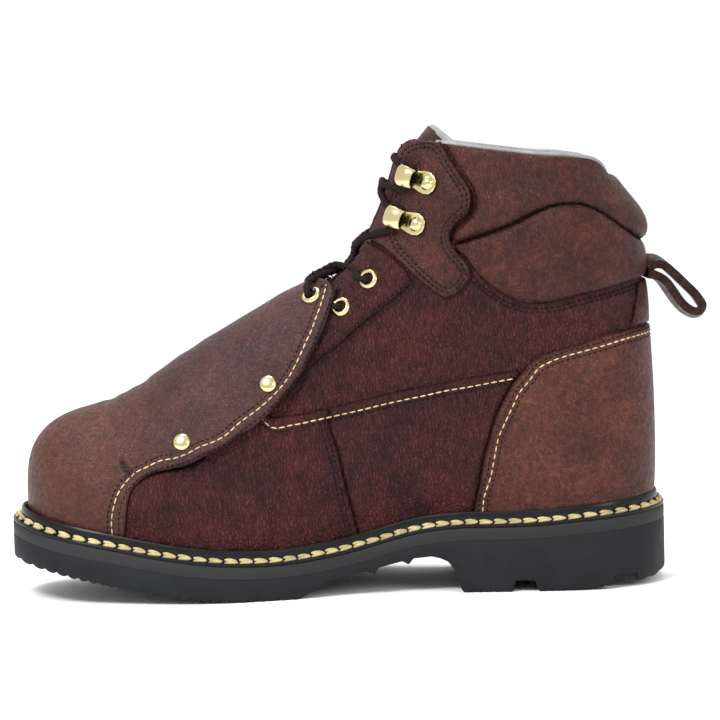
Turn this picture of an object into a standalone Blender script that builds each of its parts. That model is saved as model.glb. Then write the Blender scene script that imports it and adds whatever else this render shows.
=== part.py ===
"""Metatarsal guard boot: a six inch lace-up work boot for the right foot.

Frame: +Z up, toe at -X, heel at +X, inner (medial) side at -Y, floor at z = 0. Tables and sizes are
in millimetres, and MM turns them into metres. They count x from the middle of the sole and y from
the middle line of the last; at the end everything moves so that the origin lies under the middle of
the boot's bounding box.
"""
from collections import namedtuple
from math import pi, radians, tau

import bmesh
import bpy
import numpy as np
from mathutils import Matrix, Vector

MM = 0.001
SIDES = ("medial", "lateral")
SIGN = {"medial": -1, "lateral": 1}
BOX_MIDDLE = Vector((9.925, 2.562, 0))
PAST_THE_SIDE = 100

# Thicknesses and clearances
GAP = 0.3
SEAT_GAP = 0.6
WALL = 2.5
TOE_LEATHER = 2.7
VAMP_LEATHER = 2.0
SIDE_LEATHER = 1.3
COUNTER_LEATHER = 2.3
FACING_LEATHER = 1.4
EYESTAY_LEATHER = 1.8
BACKSTAY_LEATHER = 1.9
FLAP_RISE = 4.2
FLAP_START = -92
FLAP_RAISED = -58
TONGUE_THICKNESS = 4.0
TONGUE_HALF_WIDTH = 27

# Sole
MIDSOLE_THICKNESS = 6.0
WELT_MARGIN = 9.3
# Section of the welt: distance out of the bare upper and height above the midsole
WELT_PROFILE = ((4.0, 0.3), (9.0, 0.3), (9.0, 1.9), (6.5, 1.9), (6.2, 2.6), (6.2, 5.4), (5.7, 6.9),
                (5.0, 6.5))
WELT_SECTIONS = 50
INSOLE_THICKNESS = 3.0
INSOLE_INSET = 5.0
BALL_START = -48
TOE_TIP = -156.6
TOE_SPRING = 22
GROOVE_WIDTH = 3.2
GROOVE_DEPTH = 3.0
GROOVE_SPAN = 0.72
TREAD_GROOVES = (-136, -123, -110, -97, -84, -71, -58, -45, -33)
HEEL_GROOVES = (70, 96, 109, 122)
HEEL_NOTCHES = (((79, -2), (86.6, -2), (85.2, 6), (80.2, 6)),
                ((131, -2), (141, -2), (138.6, 6.4), (134, 7)))
SPRING_POWER = 1.5

# Roundness of the last: the exponent of its superelliptic cross-sections, and the inward swing
# of its middle line towards the toe
ROUNDNESS = 2.25
TOE_SWING = 8.0
SWING_POWER = 1.6
LAST_END = 150.0

# Side view of the bare upper: front line over the toe and up the shin, and back line
Spot = namedtuple("Spot", "x z")
FRONT_LINE = [Spot(*row) for row in (
    (-147.2, 24), (-147.6, 46), (-147.3, 57), (-146.2, 65), (-143.6, 72), (-139.5, 77.5),
    (-134, 81.8), (-127, 85), (-118, 87.6), (-108, 90.4), (-97, 94.6), (-85, 99.8),
    (-71, 107), (-55, 115.8), (-38, 125.6), (-21, 135.2), (-7, 143.6), (2, 152.3),
    (9, 161), (15, 171), (20, 182), (24, 192.8), (28, 203.8), (31.5, 212.5))]
BACK_LINE = [Spot(*row) for row in (
    (147.0, 24), (147.3, 42), (148.0, 60), (148.0, 80), (147.5, 98), (146.8, 115),
    (146.2, 132), (144.6, 150), (143.6, 161), (142, 171), (137.6, 182), (130.5, 192.5))]
RIM_LINE = [Spot(*row) for row in (
    (31.5, 212.5), (49.8, 210.4), (71.8, 207.2), (95.3, 204), (113, 202.3), (123, 199.6),
    (130.5, 192.5))]
# Top edge of the midsole along the boot, under the welt
SOLE_TOP = [Spot(*row) for row in (
    (-157, 38.8), (-146.6, 36.2), (-134.9, 32.3), (-118, 28.2), (-103.5, 25.2), (-88, 21.9),
    (-70, 18.9), (-53.5, 17.0), (-38, 16.4), (-24, 16.9), (-11.6, 18.4), (2, 20.6),
    (15.5, 23.6), (29, 27.0), (42.6, 29.4), (54.6, 30.4), (75, 30.6), (96, 31.3),
    (116, 33.0), (136, 34.7), (157, 36.8))]
# Underside of the outsole behind the ball: tread end, ribbed waist, heel breast, heel
WAIST_AND_HEEL = [Spot(*row) for row in (
    (-24, 0), (-14, 4), (-7, 8), (10.5, 11.3), (13.5, 9.6), (16, 12.8), (27.5, 15.4),
    (30.5, 13.8), (33, 16.6), (45, 17.3), (48, 16), (50.5, 12.5), (53, 8), (56, 3.4),
    (59, 0), (104, 0), (150, 3.2), (157, 8))]

# Half widths of the last from its middle line, at these heights above the midsole
Girth = namedtuple("Girth", "x at_sole low mid high ankle collar")
GIRTH_HEIGHTS = (0, 18, 48, 88, 130, 172)
GIRTHS = {
    "medial": [Girth(*row) for row in (
        (-150, 38.0, 39.5, 37, 34, 34, 34),
        (-125, 40.0, 42.2, 39, 34, 34, 34),
        (-105, 41.2, 43.6, 41, 36, 34, 34),
        (-85, 44.3, 46.8, 44, 38, 36, 36),
        (-65, 46.0, 48.4, 45.5, 40, 37, 37),
        (-37, 42.7, 45.5, 44, 40, 37, 37),
        (-15, 37.5, 41.2, 41, 38.5, 36, 37),
        (10, 32.2, 37.2, 38.5, 37, 36.5, 38.5),
        (35, 30.4, 35.2, 37, 36.5, 37.5, 41),
        (60, 31.5, 35.8, 37, 37, 39, 43.0),
        (85, 33.2, 36.6, 37, 37.5, 40, 44),
        (110, 34.0, 36.8, 37, 37.5, 40, 44),
        (150, 34.4, 36.4, 36.5, 37, 39.5, 43))],
    "lateral": [Girth(*row) for row in (
        (-150, 38.0, 39.5, 37, 34, 34, 34),
        (-125, 38.7, 40.8, 38.5, 34, 34, 34),
        (-105, 43.5, 45.8, 42.5, 37, 34, 34),
        (-85, 49.3, 51.8, 47.5, 40, 37, 36),
        (-65, 52.8, 55.2, 50, 42, 38, 37),
        (-37, 54.2, 56.0, 50, 43, 38, 37),
        (-15, 51.9, 53.6, 48, 42, 38, 37.5),
        (10, 46.5, 48.4, 44.5, 40, 38, 39),
        (35, 40.7, 43.0, 41, 38.5, 38.5, 41),
        (60, 37.0, 39.6, 39, 38, 39.5, 43.0),
        (85, 35.6, 38.4, 38, 38, 40.5, 44),
        (110, 35.0, 37.5, 37.5, 38, 40.5, 44),
        (150, 34.8, 36.9, 37, 37.5, 40, 43))],
}
# Reach of the rounding over the front line and round the back line
Reach = namedtuple("Reach", "x depth")
FRONT_REACH = [Reach(*row) for row in (
    (-150, 50), (-105, 50), (-60, 57), (-20, 53), (10, 46), (40, 44), (150, 44))]
BACK_REACH = [Reach(*row) for row in ((20, 37), (100, 37), (150, 41), (210, 43))]

# Section lines of the upper fan out from the toe tip to the collar: where each one starts on
# the front line and where it ends on the sole edge and back line, both as distance from the toe
Fan = namedtuple("Fan", "front foot rim_share")
FAN = [Fan(*row) for row in (
    (0, 0, 0), (31, 5, 0), (53, 18, 0), (80, 42, 0), (121, 77, 0), (159, 111, 0),
    (195, 150, 0), (218, 198, 0), (230, 243, 0), (241, 288, 0.04), (245, 302.5, 0.1),
    (250, 328, 0.2), (258, 372, 0.45), (267, 414, 0.75), (1000, 1000, 1))]
OUTLINE_POINTS = 400
END_STATION = 0.06
RINGS_PER_ROW = 2
COLUMNS = 8
END_CLUSTERING = 0.35
# Half gap of the throat against distance along the front line
ThroatGap = namedtuple("ThroatGap", "front half_gap")
THROAT = [ThroatGap(*row) for row in ((148, 0), (162, 8), (190, 14), (218, 18), (300, 19))]

# Side-view outlines of the leather pieces
GUARD_EDGE = ((-101, 32), (-100, 40), (-99, 47), (-97.5, 53), (-94, 57), (-88, 61),
              (-80, 63), (-71, 65), (-62, 69), (-53, 73), (-46, 78), (-40, 81), (-34, 86),
              (-28, 92), (-22, 99), (-17, 105), (-13, 113), (-9, 121), (-6, 128), (-4.5, 134),
              (-5, 138), (-9, 143), (-16, 150), (-20, 160))
GUARD_OUTSIDE = ((-60, 190), (-190, 130))
PANEL_TOP = ((-22, 85.6), (-11, 87.3), (5, 90.3), (24, 94.4), (40, 97.4), (61, 100.8),
             (86, 104.2))
VAMP_SEAM = ((-5, 88.3), (-5, 81), (-1, 67), (2, 52), (7, 30))
VAMP_HIDDEN_EDGE = ((-28, 90), (-50, 84), (-66, 72))
COUNTER_EDGE = ((62, 38), (65, 51), (67, 62), (70, 72), (73, 82), (77, 90), (81, 97),
                (86, 103), (92, 109), (100, 112), (112, 115), (124, 119), (136, 121), (148, 122),
                (175, 122.5))
FACING_LINE = ((-13, 107.5), (-9, 111), (0, 117), (8, 124), (17, 131), (26, 138), (35.4, 146.2))
FACING_OUTSIDE = ((32.4, 152.4), (25, 159.2), (0, 174), (-34, 150), (-26, 112))
EYESTAY_OUTLINE = ((25.6, 160.2), (33, 153), (41, 145), (47, 140.4), (52, 138.4), (56, 140),
                   (60, 143.6), (63, 148.6), (61.5, 154), (57, 159.6), (54.3, 164), (54, 167.5),
                   (55.5, 171), (59, 174.6), (62.6, 178), (64, 182), (64, 187), (60.5, 194),
                   (55.5, 202), (51, 211), (50, 225), (5, 225), (5, 172))
COLLAR_LOW = ((59.5, 158.6), (64, 152), (70, 145.4), (78, 139.6), (85, 136.2), (93, 135),
              (101, 135.4), (112, 138), (124, 140.4), (135, 143), (145, 145), (175, 146))
COLLAR_SEAM = ((55.2, 163.6), (63, 166.2), (74, 169.6), (83, 173), (92, 177.4), (101, 180.6),
               (110, 181), (116, 179.8), (122, 177), (128, 173), (135, 167.6), (145, 161),
               (175, 158))
COLLAR_FRONT = ((55.2, 164.6), (55, 167.4), (56.4, 170.4), (59.8, 173.8), (63.6, 177.4),
                (65.2, 181.8), (65.2, 187.4), (61.7, 194.4), (56.7, 202.4), (52.2, 211),
                (51.6, 225))
BACKSTAY_OUTLINE = ((175, 143.6), (145, 143.6), (141.4, 142), (140.6, 136), (139.2, 128),
                    (137.6, 122.2), (148, 122.7), (175, 123.2))
LOWER_PAD_HEIGHT = 3.6
UPPER_PAD_HEIGHT = 6.6
PAD_ROUNDING = 15.0
PAD_EDGE = 1.2

# Middle line of the tongue, from under the guard to its free top
TONGUE_LINE = [Spot(*row) for row in (
    (-35.5, 121), (-19, 131.5), (-5.2, 140.6), (4, 150.2), (11.2, 159.4), (17.4, 169.8),
    (22.4, 181), (26.4, 192), (30.4, 203), (34.6, 212), (40.4, 218.4), (47.4, 220.6))]
TONGUE_REACH = 44
TONGUE_ROUND = 31

# Metal fittings, with their places in side view
EYELET_PROFILE = ((2.2, 1.2), (3.4, 1.6), (4.9, 0.7), (2.75, 0.7), (2.75, -2.4), (2.2, -2.4))
EYELET_BORE = 3.1
BORE_DEPTH = 16
EYELETS = {"low": Spot(2.6, 134), "high": Spot(16, 147)}
GUARD_EYELET = Spot(-13, 132.5)
RIVET_PROFILE = ((0, 2.4), (1.6, 2.3), (3.1, 1.8), (4.1, 0.8), (0, 0.8))
RIVETS = {"front": Spot(-73, 75), "rear": Spot(-33, 101)}
HOOKS = {"lower": Spot(38, 174), "upper": Spot(44, 193)}
HOOK_TILT = -12
HOOK_PLATE = ((-8.5, -3.2), (-3, -3.8), (1.5, -5.2), (6.5, -5.2), (9.3, -2.6), (9.3, 2.6),
              (6.5, 5.2), (1.5, 5.2), (-3, 3.8), (-8.5, 3.2))
HOOK_PLATE_HEIGHT = (0, 0.9)
HOOK_STAND_OFF = 0.9
HOOK_CURL = ((-7, 0.3), (-9, 1.9), (-9.2, 4.1), (-7.4, 5.7), (-4.4, 5.9), (-4.4, 5),
             (-7, 4.8), (-8.2, 3.8), (-8, 2.4), (-6, 0.8), (-4, 0.7), (-4, 0.3))
HOOK_CURL_HALF_WIDTH = 2.9
HOOK_DOME = Vector((4.4, 0, 0.6))
HOOK_DOME_RADIUS = 3.6
TURN_STEPS = 8

# Pull loop behind the collar: a strap folded in half, seen from the side
LOOP_OUTLINE = ((149, 152.6), (150.8, 153.8), (154.8, 153.2), (160.8, 148.6), (166.9, 142.4),
                (174.2, 134), (176.4, 129), (175, 125.4), (171.2, 124), (165.4, 125.6),
                (160.6, 129.6), (156.3, 135.7), (152.3, 141.8), (149, 144.2))
LOOP_HOLE = ((153.4, 150.4), (159, 146.7), (165, 140.5), (172.2, 132.4), (173.8, 129.4),
             (172.8, 127.2), (170.6, 126.7), (166.6, 128), (162.5, 131.3), (158.5, 137.2),
             (154.5, 143.3), (152.6, 146))
LOOP_HALF_WIDTH = 7

# Lace strands of one side; each crosses its mirror image, and the two are one solid
LACE_RADIUS = 1.6
LACE_CROSSING_RISE = 0.7
LACE_CROSSINGS = {
    "lace_over_guard": (
        (-17.5, -27.2, 141.2), (-15.4, -21.5, 145.6), (-12, -13, 149.8), (-5, -5, 153),
        (0, 0, 154.6), (3.6, 7, 156.2), (5, 15.5, 157.2), (6.6, 22.5, 156), (9.4, 28.4, 153.4),
        (12.4, 33.4, 150)),
    "lace_over_instep": (
        (8, 6.5, 158.6), (7.2, 0, 160.6), (9, -7, 164), (11, -13.5, 167.6), (13.4, -19.5, 169.8),
        (18, -24.6, 171.2), (23.6, -29.4, 171.8)),
    "lace_over_ankle": (
        (26.7, -28.8, 179.4), (23.2, -27, 182.5), (20.0, -21, 185.6), (19.8, -13, 187.8),
        (20.8, -6, 189.4), (21.4, 0, 190.8), (21.8, 6, 192.2), (22, 13, 193), (23, 20.5, 193.4),
        (29.1, 26.7, 193)),
}
LACE_TOP = ((32.6, -28.3, 200.4), (28, -25, 203.6), (25.8, -18, 205.6), (25.6, -9, 206.2),
            (25.6, 0, 206.4), (25.6, 9, 206.2), (25.8, 18, 205.6), (28, 25, 203.6),
            (32.6, 28.3, 200.4))

RUBBER = ("sole_rubber", (0.022, 0.022, 0.023), 0.85, 0.0)
MIDSOLE_RUBBER = ("midsole_rubber", (0.035, 0.035, 0.036), 0.8, 0.0)
WELT_RUBBER = ("welt_rubber", (0.012, 0.012, 0.013), 0.35, 0.0)
LEATHER = ("leather", (0.105, 0.034, 0.022), 0.5, 0.0)
TOE_TONE = ("toe_leather", (0.14, 0.052, 0.036), 0.48, 0.0)
LINING = ("lining", (0.36, 0.36, 0.36), 0.95, 0.0)
BRASS = ("brass", (0.78, 0.66, 0.36), 0.25, 1.0)
CORD = ("lace", (0.025, 0.014, 0.012), 0.8, 0.0)


def smooth(knots, values, at):
    """Smooth curve through values at knots; values may differ from place to place."""
    knots = np.asarray(knots, float)
    at = np.clip(np.asarray(at, float), knots[0], knots[-1])
    values = np.broadcast_to(np.asarray(values, float), at.shape + (len(knots),))
    gaps = np.diff(knots)
    slopes = np.diff(values, axis=-1) / gaps
    inner = (slopes[..., :-1] * gaps[1:] + slopes[..., 1:] * gaps[:-1]) / (gaps[1:] + gaps[:-1])
    tangents = np.concatenate([slopes[..., :1], inner, slopes[..., -1:]], -1)
    i = np.clip(np.searchsorted(knots, at) - 1, 0, len(knots) - 2)
    width = gaps[i]
    s = (at - knots[i]) / width

    def pick(rows, index):
        return np.take_along_axis(rows, index[..., None], -1)[..., 0]

    return (pick(values, i) * (2 * s**3 - 3 * s**2 + 1)
            + pick(tangents, i) * width * (s**3 - 2 * s**2 + s)
            + pick(values, i + 1) * (3 * s**2 - 2 * s**3)
            + pick(tangents, i + 1) * width * (s**3 - s**2))


def table_value(rows, at, column=1):
    """Smooth value of one column of a table against its first column."""
    return smooth([row[0] for row in rows], [row[column] for row in rows], at)


def ease(value):
    t = np.clip(value, 0, 1)
    return t * t * (3 - 2 * t)


def lengths(points):
    """Distance of each point of a polyline from its start."""
    steps = np.linalg.norm(np.diff(points, axis=0), axis=1)
    return np.concatenate([[0], np.cumsum(steps)])


def at_distance(points, distance):
    """Points on a polyline at the given distances from its start."""
    run = lengths(points)
    return np.stack([np.interp(distance, run, points[:, k]) for k in range(points.shape[1])], -1)


def evenly(points, count):
    return at_distance(points, np.linspace(0, lengths(points)[-1], count))


def smooth_line(spots, count):
    """Evenly spaced points on a smooth curve through a few spots."""
    spots = np.array(spots, float)
    run = lengths(spots)
    fine = np.linspace(0, run[-1], 12 * count)
    return evenly(np.stack([smooth(run, spots[:, k], fine) for k in range(spots.shape[1])], -1),
                  count)


FRONT = smooth_line(FRONT_LINE, 240)
BACK = smooth_line(BACK_LINE, 150)


def distance_to(line, x, z):
    """Distance of points from a line, and on which side of it they lie."""
    spots = np.stack(np.broadcast_arrays(x, z), -1).astype(float).reshape(-1, 2)
    start = line[:-1]
    run = line[1:] - start
    share = ((spots[:, None] - start) * run).sum(-1) / (run**2).sum(-1)
    foot = start + run * np.clip(share, 0, 1)[..., None]
    distance = np.linalg.norm(spots[:, None] - foot, axis=-1)
    nearest = distance.argmin(1)
    arm = spots - start[nearest]
    turn = run[nearest, 0] * arm[:, 1] - run[nearest, 1] * arm[:, 0]
    shape = np.broadcast(x, z).shape
    return distance.min(1).reshape(shape), turn.reshape(shape)


def closing(depth, reach):
    """Superelliptic rise from 0 at the outline to 1 at the given depth."""
    t = np.clip(depth / reach, 0, 1)
    return np.maximum(1 - (1 - t) ** ROUNDNESS, 0) ** (1 / ROUNDNESS)


def spine(x):
    """Middle line of the last in plan."""
    return -TOE_SWING * np.clip(-np.asarray(x, float) / LAST_END, 0, None) ** SWING_POWER


def half_width(x, z, side):
    """Half width of the bare upper at a spot of the side view."""
    x, z = np.broadcast_arrays(np.asarray(x, float), np.asarray(z, float))
    rows = GIRTHS[side]
    columns = np.stack([table_value(rows, x, 1 + k) for k in range(len(GIRTH_HEIGHTS))], -1)
    girth = smooth(GIRTH_HEIGHTS, columns, z - table_value(SOLE_TOP, x))
    front_depth, front_turn = distance_to(FRONT, x, z)
    back_depth, back_turn = distance_to(BACK, x, z)
    return (girth * closing(np.where(front_turn < 0, front_depth, 0), table_value(FRONT_REACH, x))
            * closing(np.where(back_turn > 0, back_depth, 0), table_value(BACK_REACH, x)))


def on_skin(x, z, side):
    """Point of the bare upper's surface at a spot of the side view."""
    y = spine(x) + SIGN[side] * half_width(x, z, side)
    return np.stack(np.broadcast_arrays(x, y, z), -1)


def outward(x, z, side, step=0.4):
    """Unit normal of the bare upper at a spot of the side view."""
    ahead = on_skin(x + step, z, side) - on_skin(x - step, z, side)
    above = on_skin(x, z + step, side) - on_skin(x, z - step, side)
    normal = np.cross(ahead, above) * -SIGN[side]
    return normal / np.linalg.norm(normal)


def upper_outlines():
    """Front line and foot line of the bare upper, both from the toe tip."""
    seat = table_value(SOLE_TOP, FRONT[:, 0]) + SEAT_GAP
    front = FRONT[FRONT[:, 1] > seat]
    back = BACK[BACK[:, 1] > table_value(SOLE_TOP, BACK[:, 0]) + SEAT_GAP]
    x = np.linspace(front[0, 0], back[0, 0], 200)
    foot = np.stack([x, table_value(SOLE_TOP, x) + SEAT_GAP], -1)
    tip = foot[:1]
    return np.concatenate([tip, front]), np.concatenate([foot, back])


FRONT_EDGE, FOOT_EDGE = upper_outlines()


def section_line(step, count=70):
    """Side-view line of one section of the upper; step counts rows of the fan table."""
    rows = np.array(FAN, float)
    rows[-1, 0] = lengths(FRONT_EDGE)[-1]
    rows[-1, 1] = lengths(FOOT_EDGE)[-1]
    at = [np.interp(step, np.arange(len(rows)), rows[:, k]) for k in range(3)]
    start = at_distance(FRONT_EDGE, at[0])
    end = at_distance(FOOT_EDGE, at[1])
    share = (1 - np.cos(np.linspace(0, pi, count)[:, None])) / 2
    rim = smooth_line(RIM_LINE, 120)
    bow = at_distance(rim, share[:, 0] * lengths(rim)[-1]) - (rim[0] + (rim[-1] - rim[0]) * share)
    return start + (end - start) * share + bow * at[2], at[0]


def section_points(step, side, slit):
    """Points of one half section, from the front line or the throat edge to the foot line."""
    line, front = section_line(step)
    points = on_skin(line[:, 0], line[:, 1], side)
    reach = np.abs(points[:, 1] - spine(points[:, 0]))
    if slit and front > THROAT[0].front:
        half_gap = np.interp(front, [row.front for row in THROAT], [row.half_gap for row in THROAT])
        first = int(np.argmax(reach >= half_gap))
        share = (half_gap - reach[first - 1]) / (reach[first] - reach[first - 1])
        edge = points[first - 1] + (points[first] - points[first - 1]) * share
        points = np.concatenate([edge[None], points[first:]])
    share = np.linspace(0, 1, COLUMNS + 1)
    share -= END_CLUSTERING * np.sin(tau * share) / tau
    return at_distance(points, share * lengths(points)[-1])


def skin_mesh(slit=True, lift=None):
    """Open surface that follows the upper, lifted off it by a height in millimetres."""
    count = len(FAN) - 1
    bm = bmesh.new()
    for side in SIDES:
        rings = []
        for step in np.linspace(0, count, RINGS_PER_ROW * count + 1):
            points = section_points(step, side, slit)
            rings.append([bm.verts.new(point) for point in points])
        for near, far in zip(rings, rings[1:]):
            for k in range(COLUMNS):
                for corners in ((near[k], near[k + 1], far[k + 1]), (near[k], far[k + 1], far[k])):
                    bm.faces.new(corners if side == "medial" else corners[::-1])
    bmesh.ops.remove_doubles(bm, verts=bm.verts, dist=0.02)
    bmesh.ops.dissolve_degenerate(bm, edges=bm.edges, dist=0.001)
    bm.normal_update()
    if lift is not None:
        heights = [float(lift(vert.co.x, vert.co.z)) for vert in bm.verts]
        for vert, height in zip(list(bm.verts), heights):
            vert.co += vert.normal * height
    return bm


def make_material(look):
    name, colour, roughness, metallic = look
    material = bpy.data.materials.get(name)
    if material:
        return material
    material = bpy.data.materials.new(name)
    material.use_nodes = True
    shader = material.node_tree.nodes["Principled BSDF"]
    shader.inputs["Base Color"].default_value = (*colour, 1)
    shader.inputs["Roughness"].default_value = roughness
    shader.inputs["Metallic"].default_value = metallic
    return material


def collection(name):
    found = bpy.data.collections.get(name)
    if not found:
        found = bpy.data.collections.new(name)
        bpy.context.scene.collection.children.link(found)
    return found


def add_object(name, bm, look=None, smooth_shading=True):
    """Object in metres from a mesh in millimetres."""
    bmesh.ops.scale(bm, vec=(MM, MM, MM), verts=bm.verts)
    mesh = bpy.data.meshes.new(name)
    bm.to_mesh(mesh)
    bm.free()
    obj = bpy.data.objects.new(name, mesh)
    if look:
        mesh.materials.append(make_material(look))
        collection("metatarsal_guard_boot").objects.link(obj)
    else:
        collection("cutters").objects.link(obj)
        obj.hide_render = True
        obj.display_type = "WIRE"
    if smooth_shading:
        mesh.shade_smooth()
        mesh.set_sharp_from_angle(angle=radians(40))
    return obj


def solidify(obj, thickness, outside):
    shell = obj.modifiers.new("wall", "SOLIDIFY")
    shell.thickness = thickness * MM
    shell.offset = 1 if outside else -1
    return obj


def boolean(obj, other, operation):
    cut = obj.modifiers.new(other.name, "BOOLEAN")
    cut.operation = operation
    cut.object = other
    cut.solver = "EXACT"
    return obj


def prisms(name, outlines, low, high):
    """Cutter of side-view outlines, each extruded from y = low to y = high."""
    bm = bmesh.new()
    for outline in outlines:
        face = bm.faces.new([bm.verts.new((x, low, z)) for x, z in outline])
        grown = bmesh.ops.extrude_face_region(bm, geom=[face])
        moved = [item for item in grown["geom"] if isinstance(item, bmesh.types.BMVert)]
        bmesh.ops.translate(bm, verts=moved, vec=(0, high - low, 0))
    bmesh.ops.recalc_face_normals(bm, faces=bm.faces)
    return add_object(name, bm, smooth_shading=False)


def loft(name, rings, look):
    """Closed solid through a row of rings with flat ends."""
    bm = bmesh.new()
    loops = [[bm.verts.new(point) for point in ring] for ring in rings]
    count = len(loops[0])
    for near, far in zip(loops, loops[1:]):
        for k in range(count):
            bm.faces.new((near[k], far[k], far[(k + 1) % count], near[(k + 1) % count]))
    bm.faces.new(loops[0])
    bm.faces.new(loops[-1][::-1])
    bmesh.ops.recalc_face_normals(bm, faces=bm.faces)
    return add_object(name, bm, look)


def feather_outline(count=160):
    """Closed plan outline of the bare upper at the sole, from the toe along the inner side."""
    heel = np.interp(table_value(SOLE_TOP, BACK[0, 0]), BACK[:, 1], BACK[:, 0])
    x = FOOT_EDGE[0, 0] + (heel - FOOT_EDGE[0, 0]) * (1 - np.cos(np.linspace(0, pi, count))) / 2
    z = table_value(SOLE_TOP, x) + GAP
    inner = on_skin(x, z, "medial")[:, :2]
    outer = on_skin(x, z, "lateral")[:, :2]
    return np.concatenate([inner, outer[-2:0:-1]])


def plan_outline(count):
    """Evenly spaced points of the plan outline, and the way out of it at each one."""
    loop = feather_outline()
    loop = evenly(np.concatenate([loop, loop[:1]]), count + 1)[:-1]
    run = np.roll(loop, -1, 0) - np.roll(loop, 1, 0)
    normal = np.stack([run[:, 1], -run[:, 0]], -1) / np.linalg.norm(run, axis=1)[:, None]
    return loop, normal * np.sign((normal * (loop - loop.mean(0))).sum())


def sole_edges(margin, x):
    """Inner and outer y of the plan outline with a margin, at stations along the boot."""
    loop, normal = plan_outline(OUTLINE_POINTS)
    loop = loop + normal * margin
    toe, heel = int(loop[:, 0].argmin()), int(loop[:, 0].argmax())
    turned = np.roll(loop, -toe, 0)
    heel = (heel - toe) % len(loop)
    inner = turned[:heel + 1]
    outer = np.concatenate([turned[heel:], turned[:1]])[::-1]
    return np.interp(x, inner[:, 0], inner[:, 1]), np.interp(x, outer[:, 0], outer[:, 1])


def outline_ends(margin):
    loop, normal = plan_outline(OUTLINE_POINTS)
    grown = loop + normal * margin
    return grown[:, 0].min(), grown[:, 0].max()


def stations(margin, count, extra=()):
    """Stations along the boot, closer at its round ends, with extra ones at sharp features."""
    toe, heel = outline_ends(margin)
    turn = np.linspace(END_STATION, pi - END_STATION, count)
    spaced = toe + (heel - toe) * (1 - np.cos(turn)) / 2
    return np.unique(np.round(np.concatenate([spaced, extra]), 2))


def sole_underside(x):
    """Height of the outsole's underside: toe spring, flat ball, waist and heel."""
    along = np.clip(BALL_START - x, 0, None) / (BALL_START - TOE_TIP)
    spring = TOE_SPRING * along**SPRING_POWER
    rear = np.interp(x, [spot.x for spot in WAIST_AND_HEEL], [spot.z for spot in WAIST_AND_HEEL])
    return np.where(x < BALL_START, spring, rear)


def slab(name, margin, x, low, high, look):
    """Layer of the sole between two heights that run along the boot."""
    inner, outer = sole_edges(margin, x)
    rings = []
    for k in range(len(x)):
        rings.append(((x[k], inner[k], low[k]), (x[k], inner[k], high[k]),
                      (x[k], outer[k], high[k]), (x[k], outer[k], low[k])))
    return loft(name, rings, look)


def make_outsole():
    x = stations(WELT_MARGIN, 44, [spot.x for spot in WAIST_AND_HEEL[:-1]])
    low = sole_underside(x)
    high = table_value(SOLE_TOP, x) - MIDSOLE_THICKNESS - GAP
    outsole = slab("outsole", WELT_MARGIN, x, low, high, RUBBER)
    notches = prisms("heel_notches", HEEL_NOTCHES, -PAST_THE_SIDE, PAST_THE_SIDE)
    boolean(outsole, notches, "DIFFERENCE")
    for number, middle in enumerate(TREAD_GROOVES + HEEL_GROOVES):
        left, right = middle - GROOVE_WIDTH / 2, middle + GROOVE_WIDTH / 2
        base = [float(sole_underside(np.array(place))) for place in (left, right)]
        outline = ((left, base[0] - GROOVE_DEPTH), (right, base[1] - GROOVE_DEPTH),
                   (right, base[1] + GROOVE_DEPTH), (left, base[0] + GROOVE_DEPTH))
        inner, outer = sole_edges(WELT_MARGIN, np.array([middle]))
        centre = (inner[0] + outer[0]) / 2
        half = GROOVE_SPAN * (outer[0] - inner[0]) / 2
        cutter = prisms(f"groove_{number}", [outline], centre - half, centre + half)
        boolean(outsole, cutter, "DIFFERENCE")


def make_midsole():
    x = stations(WELT_MARGIN, 40)
    high = table_value(SOLE_TOP, x)
    slab("midsole", WELT_MARGIN, x, high - MIDSOLE_THICKNESS, high, MIDSOLE_RUBBER)


def make_insole():
    x = stations(-INSOLE_INSET, 26)
    low = table_value(SOLE_TOP, x) + GAP
    slab("insole", -INSOLE_INSET, x, low, low + INSOLE_THICKNESS, LINING)


def make_welt():
    """Strip round the whole boot: flat outside for the stitching, storm rib inside."""
    loop, normal = plan_outline(WELT_SECTIONS)
    bm = bmesh.new()
    rings = []
    for spot, way in zip(loop, normal):
        ring = []
        for reach, height in WELT_PROFILE:
            x, y = spot + way * reach
            ring.append(bm.verts.new((x, y, float(table_value(SOLE_TOP, x)) + height)))
        rings.append(ring)
    count = len(WELT_PROFILE)
    for near, far in zip(rings, rings[1:] + rings[:1]):
        for k in range(count):
            bm.faces.new((near[k], far[k], far[(k + 1) % count], near[(k + 1) % count]))
    bmesh.ops.recalc_face_normals(bm, faces=bm.faces)
    add_object("welt", bm, WELT_RUBBER)


def make_upper():
    upper = add_object("upper", skin_mesh(), LEATHER)
    solidify(upper, WALL, outside=False)
    return upper


def overlay(name, outline, thickness, look=LEATHER, side=None, **surface):
    """Leather piece: a shell that follows the upper, cut out by its side-view outline."""
    surface.setdefault("lift", lambda x, z: GAP)
    piece = add_object(name, skin_mesh(**surface), look)
    solidify(piece, thickness, outside=True)
    low = 0 if side == "lateral" else -PAST_THE_SIDE
    high = 0 if side == "medial" else PAST_THE_SIDE
    return boolean(piece, prisms(name + "_outline", [outline], low, high), "INTERSECT")


def seat_line(start, end):
    """Side-view line just above the midsole, where the leather pieces end."""
    x = np.linspace(start, end, 8)
    return list(zip(x, table_value(SOLE_TOP, x) + SEAT_GAP))


def flap_lift(x, z):
    """The guard lies on the toe and stands off the instep behind it."""
    return GAP + FLAP_RISE * ease((x - FLAP_START) / (FLAP_RAISED - FLAP_START))


def make_guard():
    outline = seat_line(-175, GUARD_EDGE[0][0]) + list(GUARD_EDGE + GUARD_OUTSIDE)
    overlay("metatarsal_guard", outline, TOE_LEATHER, TOE_TONE, slit=False, lift=flap_lift)


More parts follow.
